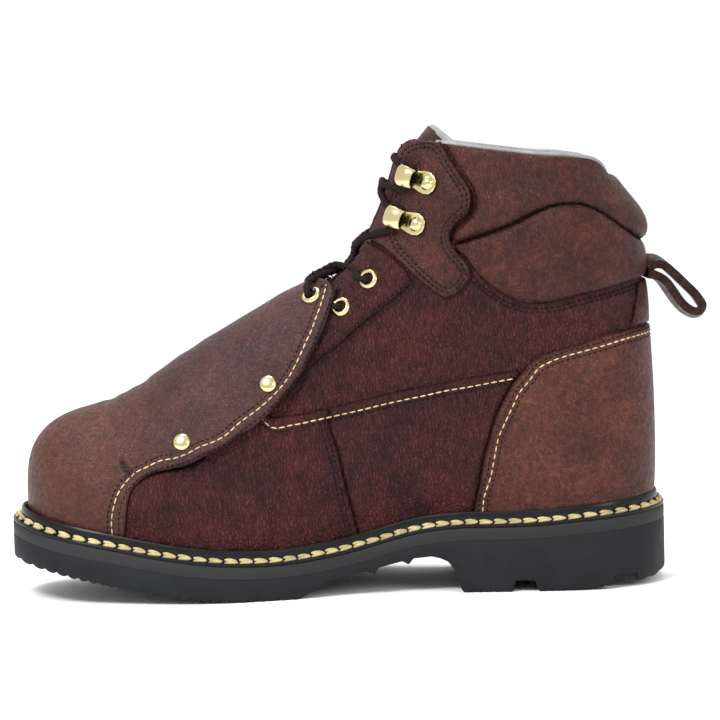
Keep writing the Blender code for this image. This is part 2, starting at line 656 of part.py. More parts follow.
def make_side_pieces(side):
    vamp = seat_line(8, GUARD_EDGE[0][0] + 0.5)
    vamp += [(x + 0.5, z - 0.3) for x, z in GUARD_EDGE[:8]] + list(VAMP_HIDDEN_EDGE[::-1])
    vamp += list(PANEL_TOP[:1]) + list(VAMP_SEAM)
    overlay(f"vamp_{side}", vamp, VAMP_LEATHER, side=side)
    panel = seat_line(61, 8.4)
    panel += [(x + 0.4, z) for x, z in VAMP_SEAM[::-1]] + list(PANEL_TOP[2:])
    panel += [(x - 0.5, z) for x, z in COUNTER_EDGE[7::-1]]
    overlay(f"side_panel_{side}", panel, SIDE_LEATHER, side=side)
    overlay(f"facing_{side}", FACING_LINE + FACING_OUTSIDE, FACING_LEATHER, side=side)
    overlay(f"eyestay_{side}", EYESTAY_OUTLINE, EYESTAY_LEATHER, side=side)


def make_counter():
    overlay("heel_counter", seat_line(175, 61.5) + list(COUNTER_EDGE), COUNTER_LEATHER)
    overlay("backstay", BACKSTAY_OUTLINE, BACKSTAY_LEATHER)


def pad_lift(edges, height):
    """Height of a padded roll: thin at its edges and full in its middle."""
    lines = [np.array(edge, float) for edge in edges]

    def lift(x, z):
        depth = min(float(distance_to(line, x, z)[0]) for line in lines)
        return GAP + PAD_EDGE + (height - PAD_EDGE) * float(closing(depth, PAD_ROUNDING))

    return lift


def collar_pad(name, outline, edges, height):
    """Padded roll of the collar: outer skin over a bulge, inner skin on the upper."""
    inner = skin_mesh(lift=lambda x, z: GAP)
    outer = skin_mesh(lift=pad_lift(edges, height))
    shift = len(inner.verts)
    bm = bmesh.new()
    for source in (inner, outer):
        for vert in source.verts:
            bm.verts.new(vert.co)
    bm.verts.ensure_lookup_table()
    for source, start in ((inner, 0), (outer, shift)):
        source.verts.index_update()
        for face in source.faces:
            corners = [bm.verts[start + vert.index] for vert in face.verts]
            bm.faces.new(corners if start else corners[::-1])
    inner.verts.index_update()
    for edge in inner.edges:
        if edge.is_boundary:
            a, b = (vert.index for vert in edge.verts)
            bm.faces.new((bm.verts[a], bm.verts[b], bm.verts[shift + b], bm.verts[shift + a]))
    inner.free()
    outer.free()
    bmesh.ops.recalc_face_normals(bm, faces=bm.faces)
    pad = add_object(name, bm, LEATHER)
    cutter = prisms(name + "_outline", [outline], -PAST_THE_SIDE, PAST_THE_SIDE)
    return boolean(pad, cutter, "INTERSECT")


def make_collar():
    low = [(x, z + 0.3) for x, z in COLLAR_LOW]
    seam_below = [(x, z - 0.3) for x, z in COLLAR_SEAM]
    seam_above = [(x, z + 0.3) for x, z in COLLAR_SEAM]
    collar_pad("collar_pad_lower", low + seam_below[::-1], (COLLAR_LOW, COLLAR_SEAM),
               LOWER_PAD_HEIGHT)
    rim = [(spot.x, spot.z) for spot in RIM_LINE]
    upper_outline = seam_above + [(175, 225)] + list(COLLAR_FRONT[::-1])
    collar_pad("collar_pad_upper", upper_outline, (COLLAR_SEAM, rim, COLLAR_FRONT),
               UPPER_PAD_HEIGHT)


def make_tongue():
    """Tongue: curved like the upper's inside under the facings, flatter at its top."""
    line = smooth_line(TONGUE_LINE, 13)
    run = np.gradient(line, axis=0)
    run /= np.linalg.norm(run, axis=1)[:, None]
    inward = np.stack([run[:, 1], -run[:, 0]], -1)
    across = np.linspace(-TONGUE_HALF_WIDTH, TONGUE_HALF_WIDTH, 9)
    share = 1 - (1 - (np.abs(across) / TONGUE_ROUND) ** ROUNDNESS) ** (1 / ROUNDNESS)
    bm = bmesh.new()
    rows = []
    for spot, way in zip(line, inward):
        middle = float(spine(spot[0]))
        row = []
        for y, part in zip(across, share):
            x, z = spot + way * part * TONGUE_REACH
            row.append(bm.verts.new((x, middle + y, z)))
        rows.append(row)
    for near, far in zip(rows, rows[1:]):
        for k in range(len(across) - 1):
            bm.faces.new((near[k], near[k + 1], far[k + 1], far[k]))
    bmesh.ops.recalc_face_normals(bm, faces=bm.faces)
    if sum(face.normal.x for face in bm.faces) > 0:
        bmesh.ops.reverse_faces(bm, faces=bm.faces)
    tongue = add_object("tongue", bm, LINING)
    solidify(tongue, TONGUE_THICKNESS, outside=False)


def seat_on(target, spot, side):
    """Frame on a piece's outer face: Z out of the leather, X rearwards."""
    start = Vector(on_skin(spot.x, spot.z, side))
    normal = Vector(outward(spot.x, spot.z, side))
    surface = target.evaluated_get(bpy.context.evaluated_depsgraph_get())
    _, place, _, _ = surface.ray_cast((start + normal * 30) * MM, -normal)
    along = Vector((1, 0, 0)) - normal * normal.x
    along.normalize()
    frame = Matrix((along, normal.cross(along), normal)).transposed().to_4x4()
    return Matrix.Translation(place) @ frame


def turned_mesh(name, profile, closed):
    """Mesh of a profile line for a Screw modifier."""
    bm = bmesh.new()
    verts = [bm.verts.new((x * MM, 0, z * MM)) for x, z in profile]
    pairs = list(zip(verts, verts[1:])) + ([(verts[-1], verts[0])] if closed else [])
    for pair in pairs:
        bm.edges.new(pair)
    mesh = bpy.data.meshes.new(name)
    bm.to_mesh(mesh)
    bm.free()
    mesh.materials.append(make_material(BRASS))
    return mesh


def turned(name, mesh, frame):
    obj = bpy.data.objects.new(name, mesh)
    collection("metatarsal_guard_boot").objects.link(obj)
    obj.matrix_world = frame
    spin = obj.modifiers.new("turn", "SCREW")
    spin.axis = "Z"
    spin.steps = TURN_STEPS
    spin.render_steps = TURN_STEPS
    spin.use_merge_vertices = True
    spin.merge_threshold = 0.00001
    spin.use_smooth_shade = True
    return obj


def bore(name, frame):
    """Cutter for the hole of an eyelet."""
    bm = bmesh.new()
    bmesh.ops.create_cone(bm, cap_ends=True, segments=TURN_STEPS, radius1=EYELET_BORE,
                          radius2=EYELET_BORE, depth=BORE_DEPTH)
    cutter = add_object(name, bm, smooth_shading=False)
    cutter.matrix_world = frame
    return cutter


def make_eyelets():
    mesh = turned_mesh("eyelet", EYELET_PROFILE, closed=True)
    guard = bpy.data.objects["metatarsal_guard"]
    upper = bpy.data.objects["upper"]
    for side in SIDES:
        facing = bpy.data.objects[f"facing_{side}"]
        places = {row: (facing, seat_on(facing, spot, side)) for row, spot in EYELETS.items()}
        places["guard"] = (guard, seat_on(guard, GUARD_EYELET, side))
        for row, (piece, frame) in places.items():
            cutter = bore(f"bore_{row}_{side}", frame)
            boolean(piece, cutter, "DIFFERENCE")
            if piece is facing:
                boolean(upper, cutter, "DIFFERENCE")
            turned(f"eyelet_{row}_{side}", mesh, frame)


def make_rivets():
    mesh = turned_mesh("rivet", RIVET_PROFILE, closed=False)
    guard = bpy.data.objects["metatarsal_guard"]
    for side in SIDES:
        for row, spot in RIVETS.items():
            turned(f"guard_rivet_{row}_{side}", mesh, seat_on(guard, spot, side))


def extruded(outline, low, high, upright):
    """Prism of an outline; upright outlines stand in the XZ plane, others lie in XY."""
    bm = bmesh.new()
    corners = [(u, low, v) if upright else (u, v, low) for u, v in outline]
    face = bm.faces.new([bm.verts.new(corner) for corner in corners])
    grown = bmesh.ops.extrude_face_region(bm, geom=[face])
    moved = [item for item in grown["geom"] if isinstance(item, bmesh.types.BMVert)]
    travel = (0, high - low, 0) if upright else (0, 0, high - low)
    bmesh.ops.translate(bm, verts=moved, vec=travel)
    bmesh.ops.recalc_face_normals(bm, faces=bm.faces)
    return bm


def joined_mesh(name, first, others):
    """Mesh of pieces united into one body; the pieces are removed."""
    for other in others:
        boolean(first, other, "UNION")
    evaluated = first.evaluated_get(bpy.context.evaluated_depsgraph_get())
    mesh = bpy.data.meshes.new_from_object(evaluated)
    mesh.name = name
    for piece in [first] + others:
        bpy.data.objects.remove(piece)
    return mesh


def make_hooks():
    """Lace hooks: a riveted plate whose front end curls back over itself."""
    plate = add_object("hook_plate", extruded(HOOK_PLATE, *HOOK_PLATE_HEIGHT, upright=False), BRASS)
    reach = (-HOOK_CURL_HALF_WIDTH, HOOK_CURL_HALF_WIDTH)
    curl = add_object("hook_curl", extruded(HOOK_CURL, *reach, upright=True))
    dome = bmesh.new()
    bmesh.ops.create_uvsphere(dome, u_segments=10, v_segments=6, radius=HOOK_DOME_RADIUS)
    bmesh.ops.scale(dome, vec=(1, 1, 0.5), verts=dome.verts)
    bmesh.ops.delete(dome, geom=[face for face in dome.faces if face.calc_center_median().z < 0],
                     context="FACES")
    rim = [edge for edge in dome.edges if edge.is_boundary]
    bmesh.ops.contextual_create(dome, geom=rim)
    bmesh.ops.translate(dome, verts=dome.verts, vec=HOOK_DOME)
    mesh = joined_mesh("hook", plate, [curl, add_object("hook_dome", dome)])
    for side in SIDES:
        eyestay = bpy.data.objects[f"eyestay_{side}"]
        for row, spot in HOOKS.items():
            hook = bpy.data.objects.new(f"hook_{row}_{side}", mesh)
            collection("metatarsal_guard_boot").objects.link(hook)
            tilt = Matrix.Rotation(radians(HOOK_TILT) * -SIGN[side], 4, "Z")
            lift = Matrix.Translation((0, 0, HOOK_STAND_OFF * MM))
            hook.matrix_world = seat_on(eyestay, spot, side) @ lift @ tilt


def make_pull_loop():
    half = LOOP_HALF_WIDTH
    loop = add_object("pull_loop", extruded(LOOP_OUTLINE, -half, half, upright=True), LEATHER)
    cutter = prisms("loop_hole", [LOOP_HOLE], -PAST_THE_SIDE, PAST_THE_SIDE)
    boolean(loop, cutter, "DIFFERENCE")


def strand(name, points, mirror):
    """Lace tube through a few points, as a closed mesh."""
    if mirror:
        points = [(x, -y, z + LACE_CROSSING_RISE) for x, y, z in points]
    route = smooth_line(points, int(1.4 * len(points)))
    curve = bpy.data.curves.new(name, "CURVE")
    curve.dimensions = "3D"
    curve.bevel_depth = LACE_RADIUS * MM
    curve.bevel_resolution = 1
    curve.use_fill_caps = True
    spline = curve.splines.new("POLY")
    spline.points.add(len(route) - 1)
    for knot, place in zip(spline.points, route):
        knot.co = (*(place * MM), 1)
    tube = bpy.data.objects.new(name, curve)
    collection("metatarsal_guard_boot").objects.link(tube)
    evaluated = tube.evaluated_get(bpy.context.evaluated_depsgraph_get())
    bm = bmesh.new()
    bm.from_mesh(bpy.data.meshes.new_from_object(evaluated))
    bmesh.ops.remove_doubles(bm, verts=bm.verts, dist=0.00001)
    bmesh.ops.scale(bm, vec=(1 / MM, 1 / MM, 1 / MM), verts=bm.verts)
    bpy.data.objects.remove(tube)
    return bm


def make_laces():
    for name, points in LACE_CROSSINGS.items():
        lace = add_object(name, strand(name, points, mirror=False), CORD)
        other = add_object(name + "_other_side", strand(name, points, mirror=True))
        boolean(lace, other, "UNION")
    add_object("lace_top", strand("lace_top", LACE_TOP, mirror=False), CORD)


def main():
    for obj in list(bpy.data.objects):
        bpy.data.objects.remove(obj)
    make_outsole()
    make_midsole()
    make_insole()
    make_welt()
    make_upper()
    make_guard()
    for side in SIDES:
        make_side_pieces(side)
    make_counter()
    make_collar()
    make_tongue()
    make_eyelets()
    make_rivets()
    make_hooks()
    make_pull_loop()
    make_laces()
    for obj in bpy.data.objects:
        obj.location -= BOX_MIDDLE * MM


main()
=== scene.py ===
# %% [markdown]
# # A metatarsal guard boot
#
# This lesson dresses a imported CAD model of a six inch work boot. The CAD model gives the size and
# the place of every piece. Here each piece of leather, rubber, brass, thread and lace is made
# again in fine detail, and takes the place of its plain solid.
#
# All tables are in millimetres. They count x from the middle of the sole, with the toe at -x, y
# from the middle line of the last, with the inner side at -y, and z from the floor.

# %% Frame and tools
from math import cos, pi, radians, sin, tau

import bmesh
import bpy
import numpy as np
from mathutils import Matrix, Vector


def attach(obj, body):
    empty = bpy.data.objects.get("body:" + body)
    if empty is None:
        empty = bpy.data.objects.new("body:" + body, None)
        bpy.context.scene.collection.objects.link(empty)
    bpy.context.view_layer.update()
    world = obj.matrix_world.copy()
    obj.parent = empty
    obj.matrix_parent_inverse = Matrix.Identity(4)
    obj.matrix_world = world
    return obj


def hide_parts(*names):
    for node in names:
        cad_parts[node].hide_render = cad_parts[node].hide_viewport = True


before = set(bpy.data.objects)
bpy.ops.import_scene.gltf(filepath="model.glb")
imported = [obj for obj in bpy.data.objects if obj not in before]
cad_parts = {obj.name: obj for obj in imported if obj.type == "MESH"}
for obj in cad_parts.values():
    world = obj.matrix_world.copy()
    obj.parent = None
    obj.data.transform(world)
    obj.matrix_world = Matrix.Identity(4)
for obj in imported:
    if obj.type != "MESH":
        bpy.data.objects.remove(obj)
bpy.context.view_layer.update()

MM = 0.001
BOX_MIDDLE = np.array((9.925, 2.562, 0.0))
SIDES = ("medial", "lateral")
SIGN = {"medial": -1, "lateral": 1}

# %% [markdown]
# ## Camera, floor and light
#
# The photograph was taken from far away with a long lens, a little above the boot and with a
# slight roll. The studio is a pale floor, a bright even world and three soft lights, so the
# leather shows broad, dull highlights and hardly any shadow.

# %% Camera
LENS = 157.3
CAMERA_PLACE = np.array((10.3, -1500.0, 235.0))
PITCH = radians(4.87)
ROLL = radians(1.4)


def place_camera():
    ahead = Vector((0, cos(PITCH), -sin(PITCH)))
    above = Vector((0, sin(PITCH), cos(PITCH)))
    right = Vector((1, 0, 0))
    level = (right * cos(ROLL) - above * sin(ROLL), right * sin(ROLL) + above * cos(ROLL), -ahead)
    data = bpy.data.cameras.new("camera")
    data.lens = LENS
    camera = bpy.data.objects.new("camera", data)
    bpy.context.scene.collection.objects.link(camera)
    turn = Matrix(level).transposed().to_4x4()
    camera.matrix_world = Matrix.Translation((CAMERA_PLACE - BOX_MIDDLE) * MM) @ turn
    bpy.context.scene.camera = camera


place_camera()
print("camera with a", LENS, "mm lens")

# %% Floor and soft light
def add_light(name, place, target, size, power):
    data = bpy.data.lights.new(name, "AREA")
    data.shape = "SQUARE"
    data.size = size
    data.energy = power
    light = bpy.data.objects.new(name, data)
    bpy.context.scene.collection.objects.link(light)
    light.location = place
    light.rotation_euler = (Vector(target) - Vector(place)).to_track_quat("-Z", "Y").to_euler()


FLOOR_REACH = 6
FLOOR_COLOUR = (0.99, 0.99, 0.99, 1)
FLOOR_ROUGHNESS = 0.9
WORLD_COLOUR = (1, 1, 1, 1)
WORLD_STRENGTH = 1.0
# Name, place, target and size in metres, and power in watts
LIGHTS = (("key", (-0.5, -0.75, 0.9), (-0.03, 0, 0.1), 0.35, 13),
          ("fill", (0.75, -0.8, 0.55), (0.05, 0, 0.1), 0.4, 3.5),
          ("top", (0.0, 0.25, 1.1), (0, 0, 0.1), 0.6, 6))


def make_studio():
    bm = bmesh.new()
    bmesh.ops.create_grid(bm, x_segments=1, y_segments=1, size=FLOOR_REACH)
    mesh = bpy.data.meshes.new("floor")
    bm.to_mesh(mesh)
    bm.free()
    pale = bpy.data.materials.new("pale_floor")
    pale.use_nodes = True
    shader = pale.node_tree.nodes["Principled BSDF"]
    shader.inputs["Base Color"].default_value = FLOOR_COLOUR
    shader.inputs["Roughness"].default_value = FLOOR_ROUGHNESS
    mesh.materials.append(pale)
    floor = bpy.data.objects.new("floor", mesh)
    bpy.context.scene.collection.objects.link(floor)
    world = bpy.data.worlds.new("studio")
    world.use_nodes = True
    sky = world.node_tree.nodes["Background"]
    sky.inputs["Color"].default_value = WORLD_COLOUR
    sky.inputs["Strength"].default_value = WORLD_STRENGTH
    bpy.context.scene.world = world
    for light in LIGHTS:
        add_light(*light)
    bpy.context.scene.view_settings.view_transform = "Standard"


make_studio()
print(len(LIGHTS), "soft lights over a pale floor")

# %% [markdown]
# ## The shape of the last
#
# A boot is pulled over a last. Its side view is drawn by two lines, one over the toe and up the
# shin and one down the back, and its half width is a table of girths. Near both lines the width
# closes with a superelliptic curve, so one formula gives the whole surface. The same tables
# shaped the CAD solids, so each piece of leather lies where its solid lies.

# %% Tables of the last
FRONT_LINE = (
    (-147.2, 24), (-147.6, 46), (-147.3, 57), (-146.2, 65), (-143.6, 72), (-139.5, 77.5),
    (-134, 81.8), (-127, 85), (-118, 87.6), (-108, 90.4), (-97, 94.6), (-85, 99.8),
    (-71, 107), (-55, 115.8), (-38, 125.6), (-21, 135.2), (-7, 143.6), (2, 152.3),
    (9, 161), (15, 171), (20, 182), (24, 192.8), (28, 203.8), (31.5, 212.5))
BACK_LINE = (
    (147.0, 24), (147.3, 42), (148.0, 60), (148.0, 80), (147.5, 98), (146.8, 115),
    (146.2, 132), (144.6, 150), (143.6, 161), (142, 171), (137.6, 182), (130.5, 192.5))
RIM_LINE = (
    (31.5, 212.5), (49.8, 210.4), (71.8, 207.2), (95.3, 204), (113, 202.3), (123, 199.6),
    (130.5, 192.5))
SOLE_TOP = (
    (-157, 38.8), (-146.6, 36.2), (-134.9, 32.3), (-118, 28.2), (-103.5, 25.2), (-88, 21.9),
    (-70, 18.9), (-53.5, 17.0), (-38, 16.4), (-24, 16.9), (-11.6, 18.4), (2, 20.6),
    (15.5, 23.6), (29, 27.0), (42.6, 29.4), (54.6, 30.4), (75, 30.6), (96, 31.3),
    (116, 33.0), (136, 34.7), (157, 36.8))
# Half widths at these heights above the midsole, one row for each place along the boot
GIRTH_HEIGHTS = (0, 18, 48, 88, 130, 172)
GIRTHS = {
    "medial": (
        (-150, 38.0, 39.5, 37, 34, 34, 34), (-125, 40.0, 42.2, 39, 34, 34, 34),
        (-105, 41.2, 43.6, 41, 36, 34, 34), (-85, 44.3, 46.8, 44, 38, 36, 36),
        (-65, 46.0, 48.4, 45.5, 40, 37, 37), (-37, 42.7, 45.5, 44, 40, 37, 37),
        (-15, 37.5, 41.2, 41, 38.5, 36, 37), (10, 32.2, 37.2, 38.5, 37, 36.5, 38.5),
        (35, 30.4, 35.2, 37, 36.5, 37.5, 41), (60, 31.5, 35.8, 37, 37, 39, 43.0),
        (85, 33.2, 36.6, 37, 37.5, 40, 44), (110, 34.0, 36.8, 37, 37.5, 40, 44),
        (150, 34.4, 36.4, 36.5, 37, 39.5, 43)),
    "lateral": (
        (-150, 38.0, 39.5, 37, 34, 34, 34), (-125, 38.7, 40.8, 38.5, 34, 34, 34),
        (-105, 43.5, 45.8, 42.5, 37, 34, 34), (-85, 49.3, 51.8, 47.5, 40, 37, 36),
        (-65, 52.8, 55.2, 50, 42, 38, 37), (-37, 54.2, 56.0, 50, 43, 38, 37),
        (-15, 51.9, 53.6, 48, 42, 38, 37.5), (10, 46.5, 48.4, 44.5, 40, 38, 39),
        (35, 40.7, 43.0, 41, 38.5, 38.5, 41), (60, 37.0, 39.6, 39, 38, 39.5, 43.0),
        (85, 35.6, 38.4, 38, 38, 40.5, 44), (110, 35.0, 37.5, 37.5, 38, 40.5, 44),
        (150, 34.8, 36.9, 37, 37.5, 40, 43)),
}
FRONT_REACH = ((-150, 50), (-105, 50), (-60, 57), (-20, 53), (10, 46), (40, 44), (150, 44))
BACK_REACH = ((20, 37), (100, 37), (150, 41), (210, 43))
ROUNDNESS = 2.25
TOE_SWING = 8.0
SWING_POWER = 1.6
LAST_END = 150.0
SEAT_GAP = 0.6

# %% Curves through tables
SPOTS_AT_ONCE = 4000
FRONT_POINTS = 240
BACK_POINTS = 150


def smooth(knots, values, at):
    """Smooth curve through values at knots; values may differ from place to place."""
    knots = np.asarray(knots, float)
    at = np.clip(np.asarray(at, float), knots[0], knots[-1])
    values = np.broadcast_to(np.asarray(values, float), at.shape + (len(knots),))
    gaps = np.diff(knots)
    slopes = np.diff(values, axis=-1) / gaps
    inner = (slopes[..., :-1] * gaps[1:] + slopes[..., 1:] * gaps[:-1]) / (gaps[1:] + gaps[:-1])
    tangents = np.concatenate([slopes[..., :1], inner, slopes[..., -1:]], -1)
    i = np.clip(np.searchsorted(knots, at) - 1, 0, len(knots) - 2)
    width = gaps[i]
    s = (at - knots[i]) / width

    def pick(rows, index):
        return np.take_along_axis(rows, index[..., None], -1)[..., 0]

    return (pick(values, i) * (2 * s**3 - 3 * s**2 + 1)
            + pick(tangents, i) * width * (s**3 - 2 * s**2 + s)
            + pick(values, i + 1) * (3 * s**2 - 2 * s**3)
            + pick(tangents, i + 1) * width * (s**3 - s**2))


def table_value(rows, at, column=1):
    return smooth([row[0] for row in rows], [row[column] for row in rows], at)


def ease(value):
    t = np.clip(value, 0, 1)
    return t * t * (3 - 2 * t)


def lengths(points):
    """Distance of each point of a line from its start."""
    return np.concatenate([[0], np.cumsum(np.linalg.norm(np.diff(points, axis=0), axis=1))])


def at_distance(points, distance):
    run = lengths(points)
    return np.stack([np.interp(distance, run, points[:, k]) for k in range(points.shape[1])], -1)


def evenly(points, count):
    return at_distance(points, np.linspace(0, lengths(points)[-1], count))


def smooth_line(spots, count):
    """Evenly spaced points on a smooth curve through a few spots."""
    spots = np.array(spots, float)
    run = lengths(spots)
    fine = np.linspace(0, run[-1], 6 * count)
    return evenly(np.stack([smooth(run, column, fine) for column in spots.T], -1), count)


def distance_to(line, x, z):
    """Distance of spots from a line, the side of it that they lie on, and the nearest point."""
    spots = np.stack(np.broadcast_arrays(x, z), -1).astype(float).reshape(-1, 2)
    start, run = line[:-1], np.diff(line, axis=0)
    size = (run**2).sum(1) + 1e-12
    rows = []
    for part in np.array_split(spots, len(spots) // SPOTS_AT_ONCE + 1):
        each = np.arange(len(part))
        arm = part[:, None] - start
        share = np.clip((arm * run).sum(-1) / size, 0, 1)
        gap = np.linalg.norm(arm - run * share[..., None], axis=-1)
        best = gap.argmin(1)
        arm = arm[each, best]
        turn = run[best, 0] * arm[:, 1] - run[best, 1] * arm[:, 0]
        foot = start[best] + run[best] * share[each, best][:, None]
        rows.append(np.column_stack([gap[each, best], turn, foot]))
    table = np.concatenate(rows)
    shape = np.broadcast(x, z).shape
    return table[:, 0].reshape(shape), table[:, 1].reshape(shape), table[:, 2:]


FRONT = smooth_line(FRONT_LINE, FRONT_POINTS)
BACK = smooth_line(BACK_LINE, BACK_POINTS)
print("front line", round(lengths(FRONT)[-1]), "mm, back line",
      round(lengths(BACK)[-1]), "mm")

# %% Surface of the last
def closing(depth, reach):
    """Superelliptic rise from 0 at the outline to 1 at the given depth."""
    t = np.clip(depth / reach, 0, 1)
    return np.maximum(1 - (1 - t) ** ROUNDNESS, 0) ** (1 / ROUNDNESS)


def spine(x):
    return -TOE_SWING * np.clip(-np.asarray(x, float) / LAST_END, 0, None) ** SWING_POWER


def half_width(x, z, side):
    x, z = np.broadcast_arrays(np.asarray(x, float), np.asarray(z, float))
    rows = GIRTHS[side]
    columns = np.stack([table_value(rows, x, 1 + k) for k in range(len(GIRTH_HEIGHTS))], -1)
    girth = smooth(GIRTH_HEIGHTS, columns, z - table_value(SOLE_TOP, x))
    front, front_turn, _ = distance_to(FRONT, x, z)
    back, back_turn, _ = distance_to(BACK, x, z)
    return (girth * closing(np.where(front_turn < 0, front, 0), table_value(FRONT_REACH, x))
            * closing(np.where(back_turn > 0, back, 0), table_value(BACK_REACH, x)))


def on_skin(x, z, side):
    """Point of the bare last at a spot of the side view."""
    y = spine(x) + SIGN[side] * half_width(x, z, side)
    return np.stack(np.broadcast_arrays(x, y, z), -1)


def outward(x, z, side, step=0.5):
    """Unit normal of the bare last at spots of the side view."""
    ahead = on_skin(x + step, z, side) - on_skin(x - step, z, side)
    above = on_skin(x, z + step, side) - on_skin(x, z - step, side)
    normal = np.cross(ahead, above) * -SIGN[side]
    return normal / np.linalg.norm(normal, axis=-1, keepdims=True)


print("half width at the ball", round(float(half_width(-50, 40, "lateral")), 1), "mm")

# %% [markdown]
# ## A fine grid over the last
#
# Side-view lines fan out from the toe tip to the collar. Each one starts on the front line, or on
# the edge of the throat, and ends at the sole or on the back line. A grid made with `create_grid`
# is laid over these lines, so its squares stay about one and a half millimetres wide on ridge and
# flank alike.

# %% Fan of section lines
# Distances from the toe tip along the front line and along the sole and back line, and the share
# of the rim's bow that the section line follows
FAN = ((0, 0, 0), (31, 5, 0), (53, 18, 0), (80, 42, 0), (121, 77, 0), (159, 111, 0),
       (195, 150, 0), (218, 198, 0), (230, 243, 0), (241, 288, 0.04), (245, 302.5, 0.1),
       (250, 328, 0.2), (258, 372, 0.45), (267, 414, 0.75), (1000, 1000, 1))
# Distance from the toe tip along the front line, and half the gap of the throat there
THROAT = ((148, 0), (162, 8), (190, 14), (218, 18), (300, 19))
# Widest square in millimetres, and squares along one section line
FINE_GRID = (1.3, 116)
COARSE_GRID = (2.3, 68)
LINE_POINTS = 120
FOOT_POINTS = 200
THROAT_POINTS = 30


def upper_outlines():
    seat = table_value(SOLE_TOP, FRONT[:, 0]) + SEAT_GAP
    front = FRONT[FRONT[:, 1] > seat]
    back = BACK[BACK[:, 1] > table_value(SOLE_TOP, BACK[:, 0]) + SEAT_GAP]
    x = np.linspace(front[0, 0], back[0, 0], FOOT_POINTS)
    foot = np.stack([x, table_value(SOLE_TOP, x) + SEAT_GAP], -1)
    return np.concatenate([foot[:1], front]), np.concatenate([foot, back])


FRONT_EDGE, FOOT_EDGE = upper_outlines()


def fan_steps(pitch):
    """Steps through the fan, close enough together that no square is wider than the pitch."""
    rows = np.array(FAN, float)
    rows[-1, :2] = lengths(FRONT_EDGE)[-1], lengths(FOOT_EDGE)[-1]
    steps = []
    for k, span in enumerate(np.diff(rows[:, :2], axis=0).max(1)):
        steps.extend(k + np.arange(0, 1, 1 / np.ceil(span / pitch)))
    return rows, np.append(steps, len(rows) - 1)


def section_lines(pitch):
    rows, steps = fan_steps(pitch)
    at = [np.interp(steps, np.arange(len(rows)), rows[:, k]) for k in range(3)]
    start, end = at_distance(FRONT_EDGE, at[0]), at_distance(FOOT_EDGE, at[1])
    share = (1 - np.cos(np.linspace(0, pi, LINE_POINTS))) / 2
    rim = smooth_line(RIM_LINE, LINE_POINTS)
    straight = rim[0] + (rim[-1] - rim[0]) * share[:, None]
    bow = at_distance(rim, share * lengths(rim)[-1]) - straight
    lines = start[:, None] + (end - start)[:, None] * share[:, None] + bow * at[2][:, None, None]
    return lines, at[0]


def section_tables(pitch, columns):
    """Grids of points on the last, for each side, whole and with the throat cut out."""
    lines, fronts = section_lines(pitch)
    half_gaps = np.interp(fronts, [row[0] for row in THROAT], [row[1] for row in THROAT])
    share = np.linspace(0, 1, columns + 1)
    tables = {}
    for side in SIDES:
        points = on_skin(lines[..., 0], lines[..., 1], side)
        reach = np.abs(points[..., 1] - spine(points[..., 0]))
        whole, cut = [], []
        for line, wide, half_gap in zip(points, reach, half_gaps):
            run = lengths(line)
            whole.append(at_distance(line, share * run[-1]))
            near = slice(THROAT_POINTS)
            begin = np.interp(half_gap, wide[near], run[near]) if half_gap > 0 else 0
            cut.append(at_distance(line, begin + share * (run[-1] - begin)))
        tables[side, False], tables[side, True] = np.array(whole), np.array(cut)
    return tables


FINE_TABLES = section_tables(*FINE_GRID)
COARSE_TABLES = section_tables(*COARSE_GRID)
print("grid of", FINE_TABLES["medial", True].shape[:2], "points on each side")

# %% Skins: both sides joined over the ridge
def skin(tables, slit):
    bm = bmesh.new()
    for side in SIDES:
        points = tables[side, slit]
        grid = bmesh.ops.create_grid(bm, x_segments=points.shape[1] - 1,
                                     y_segments=points.shape[0] - 1, size=1)
        for vert, point in zip(grid["verts"], points.reshape(-1, 3)):
            vert.co = point
        if side == "lateral":
            faces = {face for vert in grid["verts"] for face in vert.link_faces}
            bmesh.ops.reverse_faces(bm, faces=list(faces))
    bmesh.ops.remove_doubles(bm, verts=bm.verts, dist=0.05)
    bmesh.ops.dissolve_degenerate(bm, edges=bm.edges, dist=0.01)
    mesh = bpy.data.meshes.new("skin")
    bm.to_mesh(mesh)
    bm.free()
    return mesh


SKINS = {"shaft": skin(COARSE_TABLES, True), "panel": skin(FINE_TABLES, True),
         "guard": skin(FINE_TABLES, False)}
print("skin with", len(SKINS["panel"].polygons), "squares")

# %% [markdown]
# ## Finishes
#
# Leather is not one colour. Dye sits darker in the valleys of its grain and along seams, and rubs
# off to a warmer tone on high spots. The pebbles come from Voronoi cells in the piece's own
# coordinates, and the seams from a point attribute that each panel carries, so the dark lines
# follow the sewing.

# %% Node helpers
def new_material(name):
    material = bpy.data.materials.new(name)
    material.use_nodes = True
    return material, material.node_tree, material.node_tree.nodes["Principled BSDF"]


def add_node(tree, kind, inputs=(), **settings):
    node = tree.nodes.new(kind)
    for key, value in settings.items():
        setattr(node, key, value)
    for key, value in dict(inputs).items():
        if isinstance(value, bpy.types.NodeSocket):
            tree.links.new(value, node.inputs[key])
        else:
            node.inputs[key].default_value = value
    return node


def mix(tree, share, low, high, blend="MIX"):
    node = tree.nodes.new("ShaderNodeMix")
    node.data_type = "RGBA"
    node.blend_type = blend
    for index, value in ((0, share), (6, low), (7, high)):
        if isinstance(value, bpy.types.NodeSocket):
            tree.links.new(value, node.inputs[index])
        else:
            node.inputs[index].default_value = value if index == 0 else (*value[:3], 1)
    return node.outputs[2]


def ranged(tree, value, low, high, to_low=0.0, to_high=1.0):
    node = add_node(tree, "ShaderNodeMapRange", {"Value": value, "From Min": low, "From Max": high,
                                                 "To Min": to_low, "To Max": to_high})
    return node.outputs[0]


def calc(tree, operation, first, second):
    node = add_node(tree, "ShaderNodeMath", {0: first, 1: second}, operation=operation)
    return node.outputs[0]


